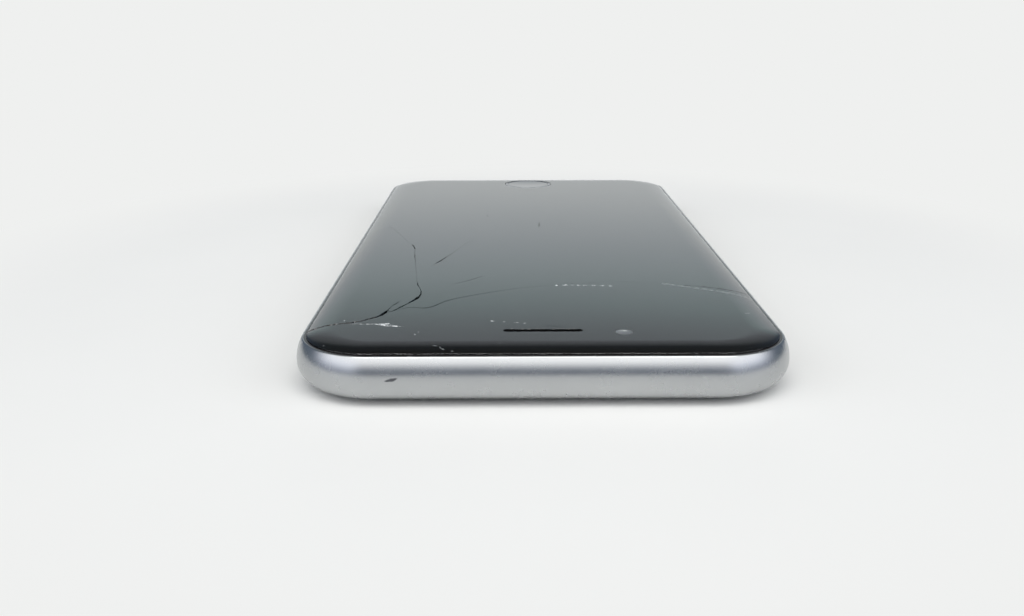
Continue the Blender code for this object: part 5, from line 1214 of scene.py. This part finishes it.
    def part(self, slab):
        """Parts the cut slab into its loose shards. Each stands for the node whose middle is nearest,
        and crumbs that a node's own shard outweighs are dropped."""
        whole = bmesh.new()
        whole.from_mesh(slab.data)
        left = set(whole.faces)
        found = {}
        while left:
            group, border = set(), [next(iter(left))]
            while border:
                face = border.pop()
                if face in left:
                    left.discard(face)
                    group.add(face)
                    border.extend(other for edge in face.edges for other in edge.link_faces)
            points = [vertex.co for face in group for vertex in face.verts]
            low = Vector((min(point.x for point in points), min(point.y for point in points)))
            high = Vector((max(point.x for point in points), max(point.y for point in points)))
            middle = (low + high) / 2 / MM
            name = min(SHARDS, key=lambda shard: (middle - Vector(shard[1])).length)[0]
            if name not in found or len(group) > len(found[name]):
                found[name] = group
        for name, _ in SHARDS:
            mesh = self.shard_mesh(f"{name}_shard", found[name])
            for material in slab.data.materials:
                mesh.materials.append(material)
            self.finish_shard(name, mesh)
        whole.free()
        bpy.data.objects.remove(slab)

    def shard_mesh(self, name, faces):
        """A new mesh of these faces of the slab."""
        shard = bmesh.new()
        corners = {}
        for face in sorted(faces, key=lambda face: face.index):
            for vertex in face.verts:
                if vertex.index not in corners:
                    corners[vertex.index] = shard.verts.new(vertex.co)
            made = shard.faces.new([corners[vertex.index] for vertex in face.verts])
            made.material_index = face.material_index
        mesh = bpy.data.meshes.new(name)
        shard.to_mesh(mesh)
        shard.free()
        return mesh

    def finish_shard(self, name, mesh):
        """Gives the shard the printed underside and the inked rim, and smooths it."""
        piece = bpy.data.objects.new(f"{name}_shard", mesh)
        bpy.context.scene.collection.objects.link(piece)
        names = [material.name for material in mesh.materials]
        for face in mesh.polygons:
            if face.normal.z < -0.9 and face.center.z < GLASS_LOW_Z + FIT / 2:
                face.material_index = names.index("printed_underside")
            elif face.center.z < GLASS_EDGE_Z and outward(*face.center[:2])[0] < GLASS_INSET + FIT:
                face.material_index = names.index("inked_glass_rim")
        dress(piece, "phone", "cover_glass", None, name, sharp=20)
        set_normals(piece, lambda point: glass_surface(point.x, point.y)[1]
                    if point.z > GLASS_EDGE_Z - TINY else None)


class PHONE_OT_home_button(bpy.types.Operator):
    """Builds the home button's dished cap and its trim ring"""
    bl_idname = "phone.home_button"
    bl_label = "Home button"

    def execute(self, context):
        cap = in_metres(HOME_FLANGE)
        cap += [(CAP_RADIUS - CAP_EDGE * (1 - across), CAP_TOP_Z - CAP_EDGE * (1 - up))
                for across, up in arc(CAP_EDGE_STEPS)]
        for step in range(1, DISH_STEPS + 1):
            share = 1 - step / DISH_STEPS
            cap.append((DISH_RADIUS * share, CAP_TOP_Z - DISH_DEPTH * (1 - share ** 2)))
        piece = turned("home_cap", cap, (0, HOME_Y, 0), steps=20)
        dress(piece, "home_button", "home_button_black", "home_cap_crystal", "home_button", sharp=40)
        piece = turned("home_trim_ring", in_metres(HOME_RING), (0, HOME_Y, 0), steps=20, closed=True)
        dress(piece, "home_button", "dark_steel_ring", "polished_dark_steel", "home_button_ring")
        return {"FINISHED"}


class PHONE_OT_side_buttons(bpy.types.Operator):
    """Builds the power and volume buttons and the mute slider, each with its flange inside the wall"""
    bl_idname = "phone.side_buttons"
    bl_label = "Side buttons and mute slider"

    def execute(self, context):
        for node, side, y, length in SIDE_BUTTONS:
            def face_at(inset):
                return pill(length - 2 * inset, BUTTON_HEIGHT - 2 * inset)
            flange = pill(length + 2 * BUTTON_FLANGE_LIP, BUTTON_HEIGHT + 2 * BUTTON_FLANGE_LIP)
            self.make(node, side, (0, y, WIDEST_Z), face_at, BUTTON_FACE_X, flange,
                      BUTTON_FLANGE_X, BUTTON_FLANGE_X + BUTTON_FLANGE)
        self.make("mute_switch", 1, MUTE_PLACE,
                  lambda inset: rounded_rectangle(*(size - inset for size in MUTE_FACE), 10), MUTE_FACE_X,
                  rounded_rectangle(*MUTE_FLANGE_SHAPE, 10),
                  BUTTON_FLANGE_X + FIT, BUTTON_FLANGE_X + FIT + MUTE_FLANGE)
        return {"FINISHED"}

    def make(self, node, side, centre, face_at, face, flange, flange_in, flange_out):
        """One button: its rounded face stands out from a flange that the wall holds."""
        shapes = [(flange, side * flange_in), (flange, side * flange_out), (face_at(0), side * flange_out)]
        shapes += bevelled(face_at, side * (flange_out + FIT), side * face, BUTTON_EDGE)
        piece = stepped(f"{node}_cap", shapes, "X", centre)
        dress(piece, node, "anodised_aluminium", "blasted_aluminium", node, sharp=40)


def lens(name, centre, way, body, level, radius, height):
    """A domed lens whose flat side lies at the level and whose dome points this way."""
    dome = [(0, level), (radius, level), (radius, level + way * LENS_RIM)]
    dome += [(radius * across, level + way * (LENS_RIM + (height - LENS_RIM) * up))
             for across, up in arc(LENS_STEPS)[1:]]
    dress(turned(name, dome, centre), body, "lens_glass", "coated_lens_painted_sheen")


class PHONE_OT_rear_camera(bpy.types.Operator):
    """Builds the camera's ring, crystal and focusing barrel, and the flash's ribbed lens"""
    bl_idname = "phone.rear_camera"
    bl_label = "Rear camera and flash"

    def execute(self, context):
        centre = (*REAR_CAMERA, 0)
        piece = turned("camera_trim_ring", in_metres(CAMERA_RING), centre, steps=20, closed=True)
        dress(piece, "phone", "anodised_aluminium", "blasted_aluminium", "camera_ring")
        piece = turned("camera_crystal", in_metres(CAMERA_CRYSTAL), centre, steps=20)
        dress(piece, "phone", "lens_glass", "camera_crystal", "camera_lens_cover")
        barrel = list(BARREL_OUTSIDE)
        for step in range(BAFFLES):
            radius = BAFFLE_RADIUS - step * BAFFLE_WIDTH
            level = BARREL_OUTSIDE[-1][1] + step * BAFFLE_DEPTH
            barrel += [(radius, level), (radius - BAFFLE_DRAFT, level + BAFFLE_DEPTH)]
        piece = turned("focus_barrel_shell", in_metres([*barrel, *BARREL_SEAT]), centre)
        dress(piece, "focus_barrel", "lens_glass", "barrel_polymer", "camera_focus_barrel")
        lens("focus_barrel_lens", centre, -1, "focus_barrel", *REAR_LENS)
        face = []
        for step in range(FLASH_RINGS, 0, -1):
            radius = FLASH_RING_RADIUS * step / FLASH_RINGS
            face += zip((radius, radius - FLASH_RING_WIDTH), FLASH_RING_LEVELS)
        piece = turned("flash_rings", in_metres([*FLASH_OUTSIDE, *face, FLASH_MIDDLE]),
                       (FLASH_X, REAR_CAMERA[1], 0))
        dress(piece, "phone", "flash_lens", "flash_diffuser", "flash_lens", sharp=25)
        return {"FINISHED"}


class PHONE_OT_front_camera(bpy.types.Operator):
    """Builds the front camera under its window: a bright rim round a pale cone and a small lens"""
    bl_idname = "phone.front_camera"
    bl_label = "Front camera"

    def execute(self, context):
        centre = (*FRONT_LENS, 0)
        low, high = (tuple(part + side * FRONT_BODY_HALF for part in FRONT_CAMERA) for side in (-1, 1))
        body = box("front_camera_body", (*low, FRONT_BODY_Z[0]), (*high, FRONT_BODY_Z[1]))
        dress(body, "phone", "black_plastic", "barrel_polymer", "front_camera")
        piece = turned("front_camera_barrel", in_metres(FRONT_BARREL), centre)
        dress(piece, "phone", "black_plastic", "satin_nickel")
        lens("front_camera_lens", centre, 1, "phone", *SMALL_LENS)
        return {"FINISHED"}


class PHONE_OT_home_edge(bpy.types.Operator):
    """Builds the screws and the port's tongue with its contacts"""
    bl_idname = "phone.home_edge"
    bl_label = "Screws and port tongue"

    def execute(self, context):
        for node, side in (("bottom_screw_left", 1), ("bottom_screw_right", -1)):
            self.screw(node, (side * SCREW_X, 0, PORT_Z))
        tongue = box("port_tongue", TONGUE_LOW, TONGUE_HIGH, TONGUE_CORNER)
        dress(tongue, "phone", "black_plastic", "moulded_polymer", "charge_port_tongue")
        low, high = zip(CONTACT_X, CONTACT_Y, [TONGUE_HIGH[2] + level for level in CONTACT_Z])
        pad = box("port_contacts", low, high, CONTACT_CORNER)
        for count, step in ((CONTACTS, (CONTACT_PITCH, 0, 0)), (2, (0, 0, TONGUE_LOW[2] - TONGUE_HIGH[2]))):
            row = pad.modifiers.new("row", "ARRAY")
            row.count = count
            row.use_relative_offset, row.use_constant_offset = False, True
            row.constant_offset_displace = step
        dress(pad, "phone", "gold_contacts", "gold_plating")
        return {"FINISHED"}

    def screw(self, node, centre):
        """A screw with a lobed socket in its domed head."""
        top = HALF_LENGTH - SCREW_SINK
        lobes = []
        for x, z in circle(1.0):
            spin = math.atan2(z, x)
            reach = SOCKET_RADIUS * (1 + SOCKET_LOBE_SHARE * math.cos(SOCKET_LOBES * spin))
            lobes.append((reach * math.cos(spin), reach * math.sin(spin)))
        shapes = [(circle(max(radius * MM, TINY * 2)), top - depth * MM) for radius, depth in SCREW_PROFILE]
        shapes += [(lobes, top), ([(x * SOCKET_TAPER, z * SOCKET_TAPER) for x, z in lobes],
                                  top - SOCKET_DEPTH),
                   (circle(TINY * 2), top - SOCKET_DEPTH - SOCKET_CONE)]
        piece = stepped(f"{node}_lobed", shapes, "Y", centre)
        dress(piece, "phone", "anodised_aluminium", "satin_nickel", node)


class PHONE_OT_inside(bpy.types.Operator):
    """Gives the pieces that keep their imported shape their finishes"""
    bl_idname = "phone.inside"
    bl_label = "Tray and pieces inside"

    def execute(self, context):
        for name, nodes in PACKED_PIECES.items():
            for node in nodes:
                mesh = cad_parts[node].data
                mesh.materials.clear()
                mesh.materials.append(finish(name))
        for node, width in ROUNDED_EDGES:
            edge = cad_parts[node].modifiers.new("round_edges", "BEVEL")
            edge.width, edge.segments, edge.angle_limit = width, ROUNDED_SEGMENTS, math.radians(40)
        return {"FINISHED"}


class PHONE_PT_panel(bpy.types.Panel):
    """Lists the steps in the sidebar"""
    bl_label = "Shattered phone"
    bl_space_type = "VIEW_3D"
    bl_region_type = "UI"
    bl_category = "Phone"

    def draw(self, context):
        for group in (context.scene.phone_look, context.scene.phone_damage):
            for name in group.__annotations__:
                self.layout.prop(group, name)
        for operator in OPERATORS:
            self.layout.operator(operator.bl_idname)


OPERATORS = (PHONE_OT_place, PHONE_OT_housing, PHONE_OT_bezel, PHONE_OT_cover_glass, PHONE_OT_home_button,
             PHONE_OT_side_buttons, PHONE_OT_rear_camera, PHONE_OT_front_camera, PHONE_OT_home_edge,
             PHONE_OT_inside)
CLASSES = (PhoneLook, PhoneDamage, *OPERATORS, PHONE_PT_panel)


def register():
    for kind in CLASSES:
        bpy.utils.register_class(kind)
    bpy.types.Scene.phone_look = PointerProperty(type=PhoneLook)
    bpy.types.Scene.phone_damage = PointerProperty(type=PhoneDamage)


def unregister():
    del bpy.types.Scene.phone_look
    del bpy.types.Scene.phone_damage
    for kind in reversed(CLASSES):
        bpy.utils.unregister_class(kind)


def main():
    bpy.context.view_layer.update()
    register()
    for operator in OPERATORS:
        group, name = operator.bl_idname.split(".")
        getattr(getattr(bpy.ops, group), name)()


if __name__ == "__main__":
    main()
